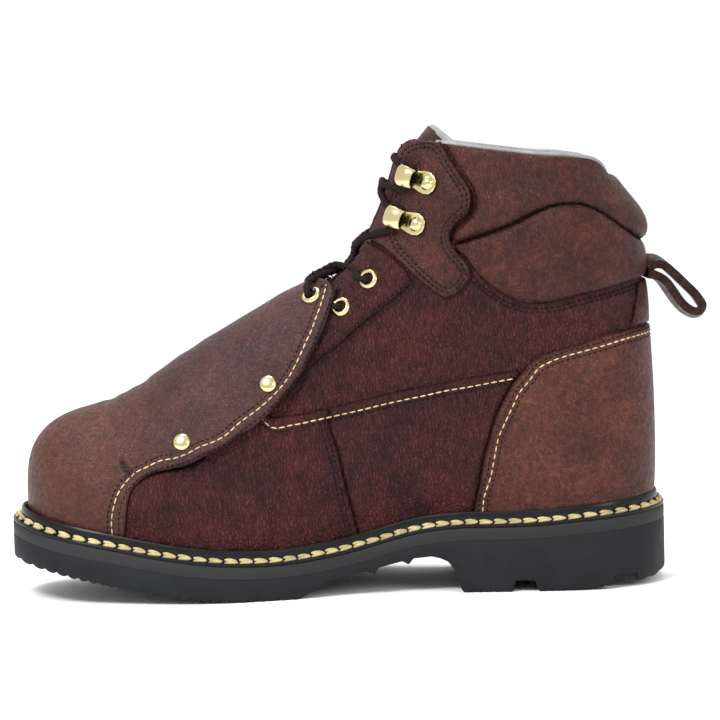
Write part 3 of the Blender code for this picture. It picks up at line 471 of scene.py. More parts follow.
def bump(tree, shader, height, strength, distance, normal=None):
    inputs = {"Height": height, "Strength": strength, "Distance": distance}
    if normal:
        inputs["Normal"] = normal
    node = add_node(tree, "ShaderNodeBump", inputs)
    tree.links.new(node.outputs[0], shader.inputs["Normal"])
    return node.outputs[0]


print("node helpers ready")

# %% Leather
WARP_SCALE = 160
WARP_SHARE = 0.0016
FINE_SCALE = 2600
PATCH_SCALE = 42
SPECKLE_SCALE = 480
SCUFF_SCALE = 95
# Where the painted shade on the guard's flap sets in behind the toe cap, in metres along the boot, and
# how its start wavers
PAINTED_SHADE_RAMP = (-0.107, -0.075)
PAINTED_SHADE_WAVER = 0.03
VALLEY_SHADE = (0.5, 1.08)
SPECKLE_SHADE = (1.2, 0.6)
SEAM_COLOUR = (0.009, 0.0035, 0.0032)
GRAIN_DISTANCE = 0.0005
SPECKLE_DISTANCE = 0.0008


def leather(name, dark, light, rub, pebble=1.3, stretch=(1, 1, 0.6), depth=0.35, rub_share=0.25,
            roughness=0.5, gloss_level=0.3, painted_shade_tones=None):
    """Tumbled leather; pebble is the size of one grain in millimetres.

    The far tones, when given, are a dark and a light tone used behind the toe cap: painted shade that
    darkens the guard's flap."""
    material, tree, shader = new_material(name)
    place = add_node(tree, "ShaderNodeTexCoord").outputs["Object"]
    pulled = add_node(tree, "ShaderNodeMapping", {0: place, 3: stretch}).outputs[0]
    warp = add_node(tree, "ShaderNodeTexNoise", {"Vector": place, "Scale": WARP_SCALE, "Detail": 3})
    bent = mix(tree, WARP_SHARE, pulled, warp.outputs["Color"], "LINEAR_LIGHT")
    cells = add_node(tree, "ShaderNodeTexVoronoi", {"Vector": bent, "Scale": 1000 / pebble},
                     feature="DISTANCE_TO_EDGE")
    grain = ranged(tree, cells.outputs["Distance"], 0.0, 0.3)
    fine = add_node(tree, "ShaderNodeTexNoise", {"Vector": pulled, "Scale": FINE_SCALE,
                                                 "Detail": 3})
    patches = add_node(tree, "ShaderNodeTexNoise", {"Vector": place, "Scale": PATCH_SCALE,
                                                    "Detail": 6, "Roughness": 0.65})
    speckle = add_node(tree, "ShaderNodeTexNoise", {"Vector": pulled, "Scale": SPECKLE_SCALE,
                                                    "Detail": 4})
    # Painted shade: behind the toe cap the dark and light tones give way to darker ones
    if painted_shade_tones:
        along = add_node(tree, "ShaderNodeSeparateXYZ", {0: place}).outputs[0]
        waved = calc(tree, "ADD", along, calc(tree, "MULTIPLY", patches.outputs[0], PAINTED_SHADE_WAVER))
        behind = ranged(tree, waved, *PAINTED_SHADE_RAMP)
        dark_tone, light_tone = (mix(tree, behind, near, far)
                                 for near, far in zip((dark, light), painted_shade_tones))
    else:
        dark_tone, light_tone = (*dark, 1), (*light, 1)
    tone = mix(tree, ranged(tree, patches.outputs[0], 0.34, 0.66), dark_tone, light_tone)
    shade = calc(tree, "MULTIPLY", ranged(tree, grain, 0.0, 0.8, *VALLEY_SHADE),
                 ranged(tree, speckle.outputs[0], 0.35, 0.68, *SPECKLE_SHADE))
    shaded = add_node(tree, "ShaderNodeVectorMath", {0: tone, "Scale": shade}, operation="SCALE")
    scuff = add_node(tree, "ShaderNodeTexNoise", {"Vector": place, "Scale": SCUFF_SCALE,
                                                  "Detail": 9, "Roughness": 0.78, "Distortion": 1.2})
    rubbed = ranged(tree, scuff.outputs[0], 0.54, 0.7, 0, rub_share)
    colour = mix(tree, rubbed, shaded.outputs[0], rub)
    # The seam attribute holds dark seams and cut edges, and painted shade inside the guard's slit
    seam = add_node(tree, "ShaderNodeAttribute", attribute_name="seam").outputs["Fac"]
    colour = mix(tree, seam, colour, SEAM_COLOUR)
    tree.links.new(colour, shader.inputs["Base Color"])
    gloss = ranged(tree, speckle.outputs[0], 0.3, 0.7, roughness - 0.08, roughness + 0.12)
    tree.links.new(gloss, shader.inputs["Roughness"])
    shader.inputs["Specular IOR Level"].default_value = gloss_level
    relief = calc(tree, "ADD", grain, calc(tree, "MULTIPLY", fine.outputs[0], 0.35))
    soft = bump(tree, shader, relief, depth, GRAIN_DISTANCE)
    bump(tree, shader, speckle.outputs[0], depth * 0.6, SPECKLE_DISTANCE, soft)
    return material


SHAFT_LEATHER = leather("shaft_leather", (0.025, 0.0048, 0.0052), (0.055, 0.0115, 0.0105),
                        (0.11, 0.025, 0.014), pebble=1.5, stretch=(1, 1, 0.5), depth=0.9,
                        gloss_level=0.14)
# The toe leather's last two tones are painted shade on the guard's flap behind the toe cap
TOE_LEATHER = leather("toe_leather", (0.052, 0.0132, 0.0084), (0.092, 0.0252, 0.0152),
                      (0.12, 0.035, 0.0175), pebble=1.1, stretch=(1, 1, 1), depth=0.35,
                      roughness=0.42, gloss_level=0.24,
                      painted_shade_tones=((0.03, 0.0066, 0.0062), (0.062, 0.0145, 0.0115)))
COUNTER_LEATHER = leather("counter_leather", (0.044, 0.0115, 0.0088), (0.092, 0.025, 0.0165),
                          (0.2, 0.062, 0.029), pebble=1.2, stretch=(1, 1, 0.8), depth=0.4,
                          rub_share=0.55, roughness=0.44, gloss_level=0.18)
COLLAR_LEATHER = leather("collar_leather", (0.03, 0.0073, 0.006), (0.062, 0.0156, 0.0112),
                         (0.17, 0.046, 0.022), pebble=1.3, stretch=(1, 1, 0.6), depth=0.45,
                         rub_share=0.4, roughness=0.44, gloss_level=0.17)
EDGE_LEATHER = leather("edge_leather", (0.02, 0.009, 0.007), (0.05, 0.021, 0.015),
                       (0.11, 0.055, 0.038), pebble=0.8, depth=0.4, roughness=0.8, gloss_level=0.15)
print("five leathers")

# %% Rubber, lining, brass, thread and lace
CLOUD_SCALE = 90
SPECK_DISTANCE = 0.0004


def plain(name, colour, roughness, metallic=0.0, grain=900, depth=0.15, spread=0.25,
          stretch=(1, 1, 1), gloss_level=0.2):
    """A finish with slight cloudiness in its colour and gloss and a fine grain."""
    material, tree, shader = new_material(name)
    place = add_node(tree, "ShaderNodeTexCoord").outputs["Object"]
    drawn = add_node(tree, "ShaderNodeMapping", {0: place, 3: stretch}).outputs[0]
    cloud = add_node(tree, "ShaderNodeTexNoise", {"Vector": drawn, "Scale": CLOUD_SCALE,
                                                  "Detail": 6})
    speck = add_node(tree, "ShaderNodeTexNoise", {"Vector": drawn, "Scale": grain, "Detail": 3})
    low = tuple(c * (1 - spread) for c in colour)
    high = tuple(min(c * (1 + spread), 1) for c in colour)
    colour = mix(tree, ranged(tree, cloud.outputs[0], 0.3, 0.7), low, high)
    tree.links.new(colour, shader.inputs["Base Color"])
    gloss = ranged(tree, cloud.outputs[0], 0.3, 0.7, roughness * 0.85, min(roughness * 1.2, 1))
    tree.links.new(gloss, shader.inputs["Roughness"])
    shader.inputs["Metallic"].default_value = metallic
    shader.inputs["Specular IOR Level"].default_value = gloss_level
    bump(tree, shader, speck.outputs[0], depth, SPECK_DISTANCE)
    return material


OUTSOLE_RUBBER = plain("outsole_rubber", (0.0105, 0.011, 0.0128), 0.6, grain=1400, depth=0.3,
                       gloss_level=0.14)
MIDSOLE_RUBBER = plain("midsole_rubber", (0.0165, 0.017, 0.018), 0.6, grain=1200, depth=0.35,
                       stretch=(0.12, 0.12, 1.6))
WELT_RUBBER = plain("welt_rubber", (0.0035, 0.0037, 0.0042), 0.3, grain=700, depth=0.05)
LINING = plain("lining_fabric", (0.25, 0.255, 0.255), 0.95, grain=1800, depth=0.9,
               gloss_level=0.1)
BRASS = plain("pale_brass", (0.63, 0.54, 0.28), 0.2, 1.0, grain=500, depth=0.05, spread=0.08,
              gloss_level=0.5)
WELT_THREAD = plain("welt_thread", (0.41, 0.345, 0.175), 0.75, grain=1500, depth=1.0,
                    spread=0.35)
CREAM_THREAD = plain("cream_thread", (0.5, 0.37, 0.21), 0.7, grain=2500, depth=0.6)
DARK_THREAD = plain("dark_thread", (0.006, 0.004, 0.0038), 0.7, grain=2500, depth=0.5,
                    gloss_level=0.1)
LACE_CORD = plain("lace_cord", (0.0125, 0.0075, 0.0065), 0.75, grain=2200, depth=0.6,
                  gloss_level=0.15)
print("nine more finishes")

# %% [markdown]
# ## Pieces and panels
#
# A panel of leather is cut from the skin along its side-view outline. The squares outside are
# deleted, the points along the cut slide onto the outline, and every point rises off the last by
# the panel's height. The height falls at the cut edge, dips along each row of stitches and waves
# a little, as pulled leather does. Solidify then gives the sheet its thickness.

# %% Adding a piece
def add_piece(name, bm, material, replaces=(), angle=50):
    """Object in metres from a mesh in millimetres, riding on the boot."""
    mesh = bpy.data.meshes.new(name)
    bm.to_mesh(mesh)
    bm.free()
    return add_mesh(name, mesh, material, replaces, angle)


def add_mesh(name, mesh, material, replaces=(), angle=50):
    mesh.transform(Matrix.Scale(MM, 4) @ Matrix.Translation(-Vector(BOX_MIDDLE)))
    mesh.materials.append(material)
    mesh.shade_smooth()
    mesh.set_sharp_from_angle(angle=radians(angle))
    obj = bpy.data.objects.new(name, mesh)
    bpy.context.scene.collection.objects.link(obj)
    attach(obj, "root")
    if replaces:
        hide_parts(*replaces)
    print(name, len(mesh.polygons), "faces")
    return obj


def thicken(obj, thickness):
    wall = obj.modifiers.new("thickness", "SOLIDIFY")
    wall.thickness = thickness * MM
    wall.offset = -1
    return obj


WAVES = 8
WAVE_GAIN = 1.6


def ripple(points, size, seed):
    """Gentle unevenness between -1 and 1 from a few waves in mixed directions."""
    draw = np.random.default_rng(seed)
    ways = draw.normal(size=(WAVES, 3))
    ways /= np.linalg.norm(ways, axis=1)[:, None]
    waves = np.sin(points @ ways.T * tau / size + draw.uniform(0, tau, WAVES))
    return waves.mean(1) * WAVE_GAIN


def inside(outline, spots):
    """Which spots lie inside a closed side-view outline."""
    x, z = spots[:, 0], spots[:, 1]
    within = np.zeros(len(spots), bool)
    for (x1, z1), (x2, z2) in zip(outline, np.roll(outline, -1, 0)):
        if z1 != z2:
            within ^= ((z1 > z) != (z2 > z)) & (x < (x2 - x1) * (z - z1) / (z2 - z1) + x1)
    return within


print("helpers for pieces ready")

# %% Cutting a panel from the skin
EDGE_ROUNDING = 1.0
EDGE_HEIGHT = 0.45
CHANNEL_WIDTH = 0.8
SLOT_SHADE_WIDTH = 1.2
EDGE_SHADE_WIDTH = 0.8


def offset_line(line, distance):
    """A line moved sideways; positive moves it to the left of its direction."""
    run = np.gradient(line, axis=0)
    run /= np.linalg.norm(run, axis=1)[:, None]
    return line + np.stack([-run[:, 1], run[:, 0]], -1) * distance


def edge_profile(depth):
    t = np.clip(depth / EDGE_ROUNDING, 0, 1)
    return EDGE_HEIGHT + (1 - EDGE_HEIGHT) * np.sqrt(1 - (1 - t) ** 2)


def channels(rows, x, z, width=CHANNEL_WIDTH):
    """How deep a spot lies in the dips along rows of stitches, from 0 to 1."""
    dip = np.zeros(np.shape(x))
    for row in rows:
        dip = np.maximum(dip, np.exp(-(distance_to(row, x, z)[0] / width) ** 2))
    return dip


def cut_skin(outline, skin_name, side):
    """The skin inside an outline, with its cut edge moved onto the outline."""
    bm = bmesh.new()
    bm.from_mesh(SKINS[skin_name])
    for vert in bm.verts:
        vert.tag = vert.is_boundary
    faces = list(bm.faces)
    centres = np.array([face.calc_center_median() for face in faces])
    keep = inside(outline, centres[:, [0, 2]])
    if side:
        keep &= (centres[:, 1] - spine(centres[:, 0])) * SIGN[side] > 0
    waste = [face for face, kept in zip(faces, keep) if not kept]
    bmesh.ops.delete(bm, geom=waste, context="FACES")
    cut = [vert for vert in bm.verts if vert.is_boundary and not vert.tag]
    slide(cut, np.vstack([outline, outline[:1]]))
    ring = {edge.other_vert(vert) for vert in cut for edge in vert.link_edges} - set(cut)
    ring = [vert for vert in ring if not vert.is_boundary]
    bmesh.ops.smooth_vert(bm, verts=ring, factor=0.5, use_axis_x=True, use_axis_y=True,
                          use_axis_z=True)
    slide(ring)
    bm.normal_update()
    return bm


def slide(verts, line=None):
    """Put points back on the last, first moved to the nearest point of a line if one is given."""
    for side in SIDES:
        group = [vert for vert in verts if (vert.co.y - spine(vert.co.x)) * SIGN[side] > 0.5]
        if group:
            spots = np.array([(vert.co.x, vert.co.z) for vert in group])
            if line is not None:
                spots = distance_to(line, spots[:, 0], spots[:, 1])[2]
            for vert, place in zip(group, on_skin(spots[:, 0], spots[:, 1], side)):
                vert.co = place


def panel(name, outline, height, thickness, material, rows=(), skin_name="panel", side=None,
          replaces=(), dark_edge=0.45, row_shade=0.3, shaded_slots=()):
    """A piece of leather over the last; height(x, z, depth) gives its outer face."""
    outline = np.array(outline, float)
    bm = cut_skin(outline, skin_name, side)
    mesh = bpy.data.meshes.new(name)
    bm.to_mesh(mesh)
    bm.free()
    places = np.zeros(3 * len(mesh.vertices))
    mesh.vertices.foreach_get("co", places)
    places = places.reshape(-1, 3)
    normals = np.zeros(3 * len(mesh.vertices))
    mesh.vertex_normals.foreach_get("vector", normals)
    x, z = places[:, 0], places[:, 2]
    depth = distance_to(np.vstack([outline, outline[:1]]), x, z)[0]
    places += normals.reshape(-1, 3) * height(x, z, depth)[:, None]
    mesh.vertices.foreach_set("co", places.ravel())
    seam = np.maximum(channels(rows, x, z) * row_shade,
                      dark_edge * np.exp(-(depth / EDGE_SHADE_WIDTH) ** 2))
    # Painted shade: slits take the seam colour at full strength, almost black
    seam = np.maximum(seam, channels(shaded_slots, x, z, SLOT_SHADE_WIDTH))
    mesh.attributes.new("seam", "FLOAT", "POINT").data.foreach_set("value", seam)
    mesh.update()
    return thicken(add_mesh(name, mesh, material, replaces), thickness)


print("panels can be cut")

# %% [markdown]
# ## Rows of stitches
#
# Each row is drawn in the side view, on the inner side, and mirrored for the outer side. Contrast
# rows are cream with long stitches, and their neighbours are dark with short ones. The panels
# need the rows for their dips, so the rows come first.

# %% Lift of the guard
FLAP_RISE = 4.2
FLAP_START = -102
FLAP_RAISED = -62
FLAP_SETTLES = -26
SETTLE_RUN = 14
SETTLE_SHARE = 0.3
GUARD_GAP = 0.3
GUARD_THICKNESS = 2.7
TOE_THICKNESS = 1.7
CAP_END = -114
CAP_RUN = 30


def guard_lift(x):
    """Height of the guard's inner face over the last: none at the toe, free behind it."""
    rise = ease((x - FLAP_START) / (FLAP_RAISED - FLAP_START))
    settled = SETTLE_SHARE * ease((x - FLAP_SETTLES) / SETTLE_RUN)
    return GUARD_GAP + FLAP_RISE * (rise - settled)


def guard_wall(x):
    return TOE_THICKNESS + (GUARD_THICKNESS - TOE_THICKNESS) * ease((x - CAP_END) / CAP_RUN)


def under_guard(spots, count):
    """Side-view line on the last below a line that is seen on the guard's outer face."""
    seen = smooth_line(spots, count)
    base = seen
    for _ in range(4):
        lift = guard_lift(base[:, 0]) + guard_wall(base[:, 0])
        base = seen - outward(base[:, 0], base[:, 1], "medial")[:, [0, 2]] * lift[:, None]
    return base


print("flap lifts", FLAP_RISE, "mm")

# %% Stitch rows
TOE_ROW = under_guard(((-107, 31), (-107, 40), (-106, 45), (-103, 53), (-100, 57), (-96, 61),
                       (-90, 64), (-83, 67), (-77, 68), (-71, 70), (-65, 73), (-59, 75), (-53, 78),
                       (-47, 83), (-37, 90), (-28, 98), (-23, 104), (-19, 111), (-15, 119),
                       (-12, 125), (-10, 130), (-8, 135), (-6.6, 139), (-5.4, 143),
                       (-4.8, 146)), 160)
QUARTER_ROW = smooth_line(((-37, 86), (-35, 83), (-32, 80.4), (-22, 81), (-11, 83), (5, 86),
                           (24, 90), (40, 93), (50, 95), (61, 96.6), (73, 98.6), (82, 100)), 110)
SEAM_LINE = smooth_line(((-5, 83), (-1, 67), (2, 52), (7, 25)), 50)
COUNTER_ROW = smooth_line(((66, 33), (67, 45), (70, 54), (72, 63), (74, 72), (78, 81), (81, 87),
                           (84, 93), (89, 99), (94, 105), (100, 108), (108, 110.5), (116, 112.5),
                           (124, 114.5), (132, 116.5), (141, 118), (148, 118.6)), 130)
FACING_ROW = smooth_line(((-11, 109.5), (0, 117), (8, 124), (17, 131), (26, 138),
                          (36, 146.6)), 50)
TOP_CORNER = ((51, 212.2), (46, 212.6), (42, 212.1), (37.6, 211.1), (34.2, 209), (32, 206),
              (31, 202.5))
EYESTAY_FRONT = ((28.6, 195), (26, 185), (24, 177), (24.2, 168), (26.4, 160.8))
EYESTAY_REAR = ((33, 153), (41, 145), (47, 140.4), (52, 138.4), (56, 140), (60, 143.6), (63, 148.6),
                (61.5, 154), (57, 159.6), (54.3, 164), (54, 167.5), (55.5, 171), (59, 174.6),
                (62.6, 178), (64, 182), (64, 187), (60.5, 194), (55.5, 202), (51.4, 209.4))
COLLAR_LOW = ((59.5, 158.6), (64, 152), (70, 145.4), (78, 139.6), (85, 136.2), (93, 135),
              (101, 135.4), (112, 138), (124, 140.4), (135, 143), (145, 145), (152, 145.6))
COLLAR_SEAM = ((55.2, 163.6), (63, 166.2), (74, 169.6), (83, 173), (92, 177.4), (101, 180.6),
               (110, 181), (116, 179.8), (122, 177), (128, 173), (135, 167.6), (145, 161),
               (152, 159))
EYESTAY_EDGE = smooth_line(EYESTAY_FRONT + EYESTAY_REAR + TOP_CORNER[1:], 240)
LOW_EDGE = smooth_line(COLLAR_LOW, 90)
PAD_SEAM = smooth_line(COLLAR_SEAM, 90)
DARK_ROWS = {
    "toe": [offset_line(TOE_ROW, 1.9), offset_line(TOE_ROW, -3.2)],
    "quarter": [offset_line(QUARTER_ROW, -1.7)],
    "seam": [offset_line(SEAM_LINE, -2.4), offset_line(SEAM_LINE, -4.5)],
    "counter": [offset_line(COUNTER_ROW, -1.9), offset_line(COUNTER_ROW, 1.9)],
    "facing": [offset_line(FACING_ROW, 1.2), offset_line(FACING_ROW, -1.2)],
    "eyestay": [offset_line(EYESTAY_EDGE, 2.4), offset_line(EYESTAY_EDGE, 4.3)],
    "low": [offset_line(LOW_EDGE, -2.6)[4:-6], offset_line(LOW_EDGE, -4.3)[4:-6]],
}
print(sum(len(rows) for rows in DARK_ROWS.values()), "dark rows on each side")

# %% [markdown]
# ## Leather panels
#
# The order is the shoemaker's: first the quarters and shaft in one skin, then vamp, side panels
# and counter over them, then facings, eyestays and backstay, and last the guard.

# %% Outlines
GUARD_EDGE = ((-101, 32), (-100, 40), (-99, 47), (-97.5, 53), (-94, 57), (-88, 61),
              (-80, 63), (-71, 65), (-62, 69), (-53, 73), (-46, 78), (-40, 81), (-34, 86),
              (-28, 92), (-22, 99), (-17, 105), (-13, 113), (-9, 121), (-6, 127), (-3.6, 135),
              (-1.4, 142), (-0.8, 145))
GUARD_TOP = ((1.2, 141.4), (-0.6, 143.6), (-5, 144.6), (-10, 145.6), (-17, 154))
GUARD_OUTSIDE = ((-60, 190), (-190, 130))
PANEL_TOP = ((-37.5, 90.5), (-34, 86), (-22, 85.6), (-11, 87.3), (5, 90.3), (24, 94.4),
             (40, 97.4), (61, 100.8), (86, 104.2))
VAMP_SEAM = ((-5, 88.3), (-5, 81), (-1, 67), (2, 52), (7, 30))
VAMP_HIDDEN_EDGE = ((-50, 84), (-66, 72))
COUNTER_EDGE = ((62, 38), (65, 51), (67, 62), (70, 72), (73, 82), (77, 90), (81, 97),
                (86, 103), (92, 109), (100, 112), (112, 115), (124, 119), (136, 121), (148, 122),
                (175, 122.5))
FACING_LINE = ((-13, 107.5), (-9, 111), (0, 117), (8, 124), (17, 131), (26, 138), (35.4, 146.2))
FACING_OUTSIDE = ((32.4, 152.4), (25, 159.2), (0, 174), (-34, 150), (-26, 112))
COLLAR_FRONT = ((55.2, 164.6), (55, 167.4), (56.4, 170.4), (59.8, 173.8), (63.6, 177.4),
                (65.2, 181.8), (65.2, 187.4), (61.7, 194.4), (56.7, 202.4), (52.2, 211))
BACKSTAY_OUTLINE = ((175, 143.6), (145, 143.6), (141.4, 142), (140.6, 136), (139.2, 128),
                    (137.6, 122.2), (148, 122.7), (175, 123.2))
GUARD_CURVE = under_guard(GUARD_EDGE, 200)
TOP_CURVE = smooth_line(PANEL_TOP, 110)
SEAM_CURVE = smooth_line(VAMP_SEAM, 60)
COUNTER_CURVE = smooth_line(COUNTER_EDGE, 150)


def seat_line(start, end):
    """Side-view line just above the midsole, where the leather pieces end."""
    x = np.linspace(start, end, 40)
    return np.stack([x, table_value(SOLE_TOP, x) + SEAT_GAP], -1)


print("outlines drawn")

# %% Shaft and quarters
THICKNESS = {"shaft": 2.4, "vamp": 1.9, "side": 1.2, "counter": 2.2, "facing": 1.4,
             "eyestay": 1.8, "backstay": 1.9, "pad": 1.6, "guard": 2.4}
# Height of each panel's outer face over the last
VAMP_HEIGHT = 1.8
SIDE_HEIGHT = 1.6
COUNTER_HEIGHT = 2.6
FACING_HEIGHT = 1.7
EYESTAY_HEIGHT = 2.1
BACKSTAY_HEIGHT = 2.2
# Soft folds of the shaft: a line in side view, depth and half width
SHAFT_FOLDS = ((((60, 128), (84, 121), (110, 122), (136, 128)), 0.7, 5),
               (((20, 122), (44, 116), (70, 120)), 0.5, 4),
               (((-5, 100), (15, 106), (34, 118)), 0.45, 4))


def folds(table, x, z):
    total = np.zeros(len(x))
    for spots, deep, width in table:
        gap = distance_to(smooth_line(spots, 30), x, z)[0] / width
        total += deep * (0.45 * np.exp(-((gap - 1.6) ** 2) * 2) - np.exp(-gap**2))
    return total


def shaft_height(x, z, depth):
    places = np.stack([x, z * 0, z], -1)
    return ripple(places, 46, 3) * 0.35 + folds(SHAFT_FOLDS, x, z)


shaft_outline = ((-200, 0), (200, 0), (200, 240), (51, 240), *TOP_CORNER, (27, 196), (-200, 196))
shaft = panel("shaft", shaft_outline, shaft_height, THICKNESS["shaft"], SHAFT_LEATHER,
              skin_name="shaft", replaces=("upper",), dark_edge=0)
shaft.data.materials.append(LINING)
shaft.modifiers["thickness"].material_offset = 1

# %% Vamp, side panels and counter
def overlay_height(top, rows, seed, size=34, wave=0.25):
    """Height of a panel of even thickness with dips along its rows."""
    def height(x, z, depth):
        places = np.stack([x, z * 0, z], -1)
        return (top * edge_profile(depth) + wave * ripple(places, size, seed) * ease(depth / 6)
                - 0.35 * channels(rows, x, z))

    return height


VAMP_ROWS = [QUARTER_ROW] + DARK_ROWS["quarter"] + DARK_ROWS["seam"]
SIDE_ROWS = [QUARTER_ROW] + DARK_ROWS["quarter"]
COUNTER_ROWS = [COUNTER_ROW] + DARK_ROWS["counter"]
vamp_height = overlay_height(VAMP_HEIGHT, VAMP_ROWS, 5)
side_height = overlay_height(SIDE_HEIGHT, SIDE_ROWS, 8)
counter_height = overlay_height(COUNTER_HEIGHT, COUNTER_ROWS, 11, 40, 0.3)
# Points of the guard's edge that the vamp follows before it runs on under the flap
VAMP_MEETS_GUARD = 74
first_half = TOP_CURVE[:, 0] < -5
vamp_outline = np.concatenate([seat_line(7, -100.5), GUARD_CURVE[:VAMP_MEETS_GUARD] + (-0.3, 0.4),
                               VAMP_HIDDEN_EDGE[::-1], TOP_CURVE[first_half], SEAM_CURVE])
side_outline = np.concatenate([seat_line(61, 7.6), SEAM_CURVE[::-1] + (0.4, 0),
                               TOP_CURVE[~first_half],
                               [(x - 0.5, z) for x, z in COUNTER_EDGE[7::-1]]])
counter_outline = np.concatenate([seat_line(175, 61.5), COUNTER_CURVE])
for side in SIDES:
    panel(f"vamp_leather_{side}", vamp_outline, vamp_height, THICKNESS["vamp"], SHAFT_LEATHER,
          VAMP_ROWS, side=side, replaces=(f"vamp_{side}",))
    panel(f"side_leather_{side}", side_outline, side_height, THICKNESS["side"], SHAFT_LEATHER,
          SIDE_ROWS, side=side, replaces=(f"side_panel_{side}",))
panel("counter_leather", counter_outline, counter_height, THICKNESS["counter"], COUNTER_LEATHER,
      COUNTER_ROWS, replaces=("heel_counter",))

# %% Facings, eyestays and backstay
facing_ridge = smooth_line(FACING_LINE, 50)
facing_outline = np.concatenate([facing_ridge, FACING_OUTSIDE])
eyestay_outline = np.concatenate([smooth_line(EYESTAY_REAR, 170), TOP_CORNER,
                                  [(27, 196), (5, 190), (5, 172), (24, 161.5)]])


def facing_height(x, z, depth):
    ridge = np.exp(-(distance_to(FACING_ROW, x, z)[0] / 0.9) ** 2)
    return overlay_height(FACING_HEIGHT, DARK_ROWS["facing"], 2)(x, z, depth) + 0.35 * ridge


def eyestay_height(x, z, depth):
    inner = np.exp(-((distance_to(EYESTAY_EDGE, x, z)[0] - 3.3) / 0.8) ** 2)
    overlay = overlay_height(EYESTAY_HEIGHT, DARK_ROWS["eyestay"], 6, 26, 0.3)
    return overlay(x, z, depth) + 0.2 * inner


for side in SIDES:
    panel(f"facing_leather_{side}", facing_outline, facing_height, THICKNESS["facing"],
          SHAFT_LEATHER, DARK_ROWS["facing"], side=side, replaces=(f"facing_{side}",),
          dark_edge=0.3, row_shade=0.12)
    panel(f"eyestay_leather_{side}", eyestay_outline, eyestay_height, THICKNESS["eyestay"],
          COLLAR_LEATHER, DARK_ROWS["eyestay"], side=side, replaces=(f"eyestay_{side}",))
panel("backstay_leather", BACKSTAY_OUTLINE, overlay_height(BACKSTAY_HEIGHT, [], 9),
      THICKNESS["backstay"], COLLAR_LEATHER, replaces=("backstay",))

# %% [markdown]
# ## Padded collar
#
# Two foam rolls go round the ankle. Each is full in the middle and pinched where a seam holds it,
# so its height follows the distance to the nearest seam with the same round curve as the last,
# and small folds cross the pinched edges.

# %% Collar rolls
PAD_ROUNDING = 14
PAD_EDGE = 1.0
LOWER_PAD = 3.9
UPPER_PAD = 7.6
RIM_PAD = 2.7
RIM_FLAT = 7
RIM_FADE = 25
rim = smooth_line(RIM_LINE, 90)
front_seam = smooth_line(COLLAR_FRONT, 60)


def pad_height(edges, full, seed):
    def height(x, z, depth):
        gap = np.min([distance_to(edge, x, z)[0] for edge in edges], axis=0)
        places = np.stack([x, z * 0, z], -1)
        puckers = ripple(places * (2.2, 1, 0.7), 30, seed) * 0.35 * np.exp(-gap / 8)
        return PAD_EDGE + (full - PAD_EDGE) * closing(gap, PAD_ROUNDING) + puckers * ease(gap / 2)

    return height


def upper_pad_height(x, z, depth):
    """Full low down over the heel, and thinning out to a flat edge at the rim."""
    from_rim = distance_to(rim, x, z)[0]
    full = RIM_PAD + (UPPER_PAD - RIM_PAD) * ease((from_rim - RIM_FLAT) / RIM_FADE)
    return pad_height((PAD_SEAM, front_seam), full, 7)(x, z, depth) * closing(from_rim + 0.5, 6)


lower_outline = np.concatenate([LOW_EDGE, [(175, 146), (175, 158)], PAD_SEAM[::-1]])
upper_outline = np.concatenate([PAD_SEAM, [(175, 160), (175, 225), (51.6, 225)], front_seam[::-1]])
lower_pad_height = pad_height((LOW_EDGE, PAD_SEAM), LOWER_PAD, 4)
lower_pad = panel("collar_roll_lower", lower_outline, lower_pad_height, THICKNESS["pad"],
                  COLLAR_LEATHER, replaces=("collar_pad_lower",), dark_edge=0.4)
upper_pad = panel("collar_roll_upper", upper_outline, upper_pad_height, THICKNESS["pad"], COLLAR_LEATHER,
                  replaces=("collar_pad_upper",), dark_edge=0.4)

# %% [markdown]
# ## The guard
#
# The guard is one thick piece: it is lasted with the toe, and from there it stands free over the
# instep. It lifts off the last behind the toe, and folds a little where the hard cap ends.

# %% Guard
GUARD_FOLDS = ((((-108, 92), (-108, 84), (-103, 75)), 0.4, 2.6),
               (((-92, 96), (-90, 88), (-84, 80), (-78, 74)), 0.45, 3.5),
               (((-66, 108), (-62, 98), (-50, 90)), 0.35, 5))
SLIT = smooth_line(((-97.4, 59.2), (-99.6, 62.2), (-101.8, 66)), 14)
SLIT_WIDTH = 1.0
GUARD_ROWS = [TOE_ROW] + DARK_ROWS["toe"]


def guard_height(x, z, depth):
    places = np.stack([x, z * 0, z], -1)
    slit = np.exp(-(distance_to(SLIT, x, z)[0] / SLIT_WIDTH) ** 2)
    return (guard_lift(x) + guard_wall(x) * edge_profile(depth) + folds(GUARD_FOLDS, x, z)
            + 0.35 * ripple(places, 40, 12) * ease(depth / 8)
            - 0.4 * channels(GUARD_ROWS, x, z) - 1.5 * slit)


guard_outline = np.concatenate([seat_line(-175, GUARD_EDGE[0][0]), GUARD_CURVE,
                                smooth_line(GUARD_TOP, 20), GUARD_OUTSIDE])
# The slit is a groove, and its inside is coloured almost black: painted shade
guard = panel("guard_leather", guard_outline, guard_height, THICKNESS["guard"], TOE_LEATHER,
              GUARD_ROWS, shaded_slots=(SLIT,), skin_name="guard",
              replaces=("metatarsal_guard",))
guard.data.materials.append(EDGE_LEATHER)
guard.modifiers["thickness"].material_offset_rim = 1
guard.modifiers["thickness"].material_offset = 1

# %% [markdown]
# ## Sewing
#
# A stitch is a small sphere drawn out along the row, half sunk into its dip. Thousands of spheres
# with few faces read better at this size than a thread with many.

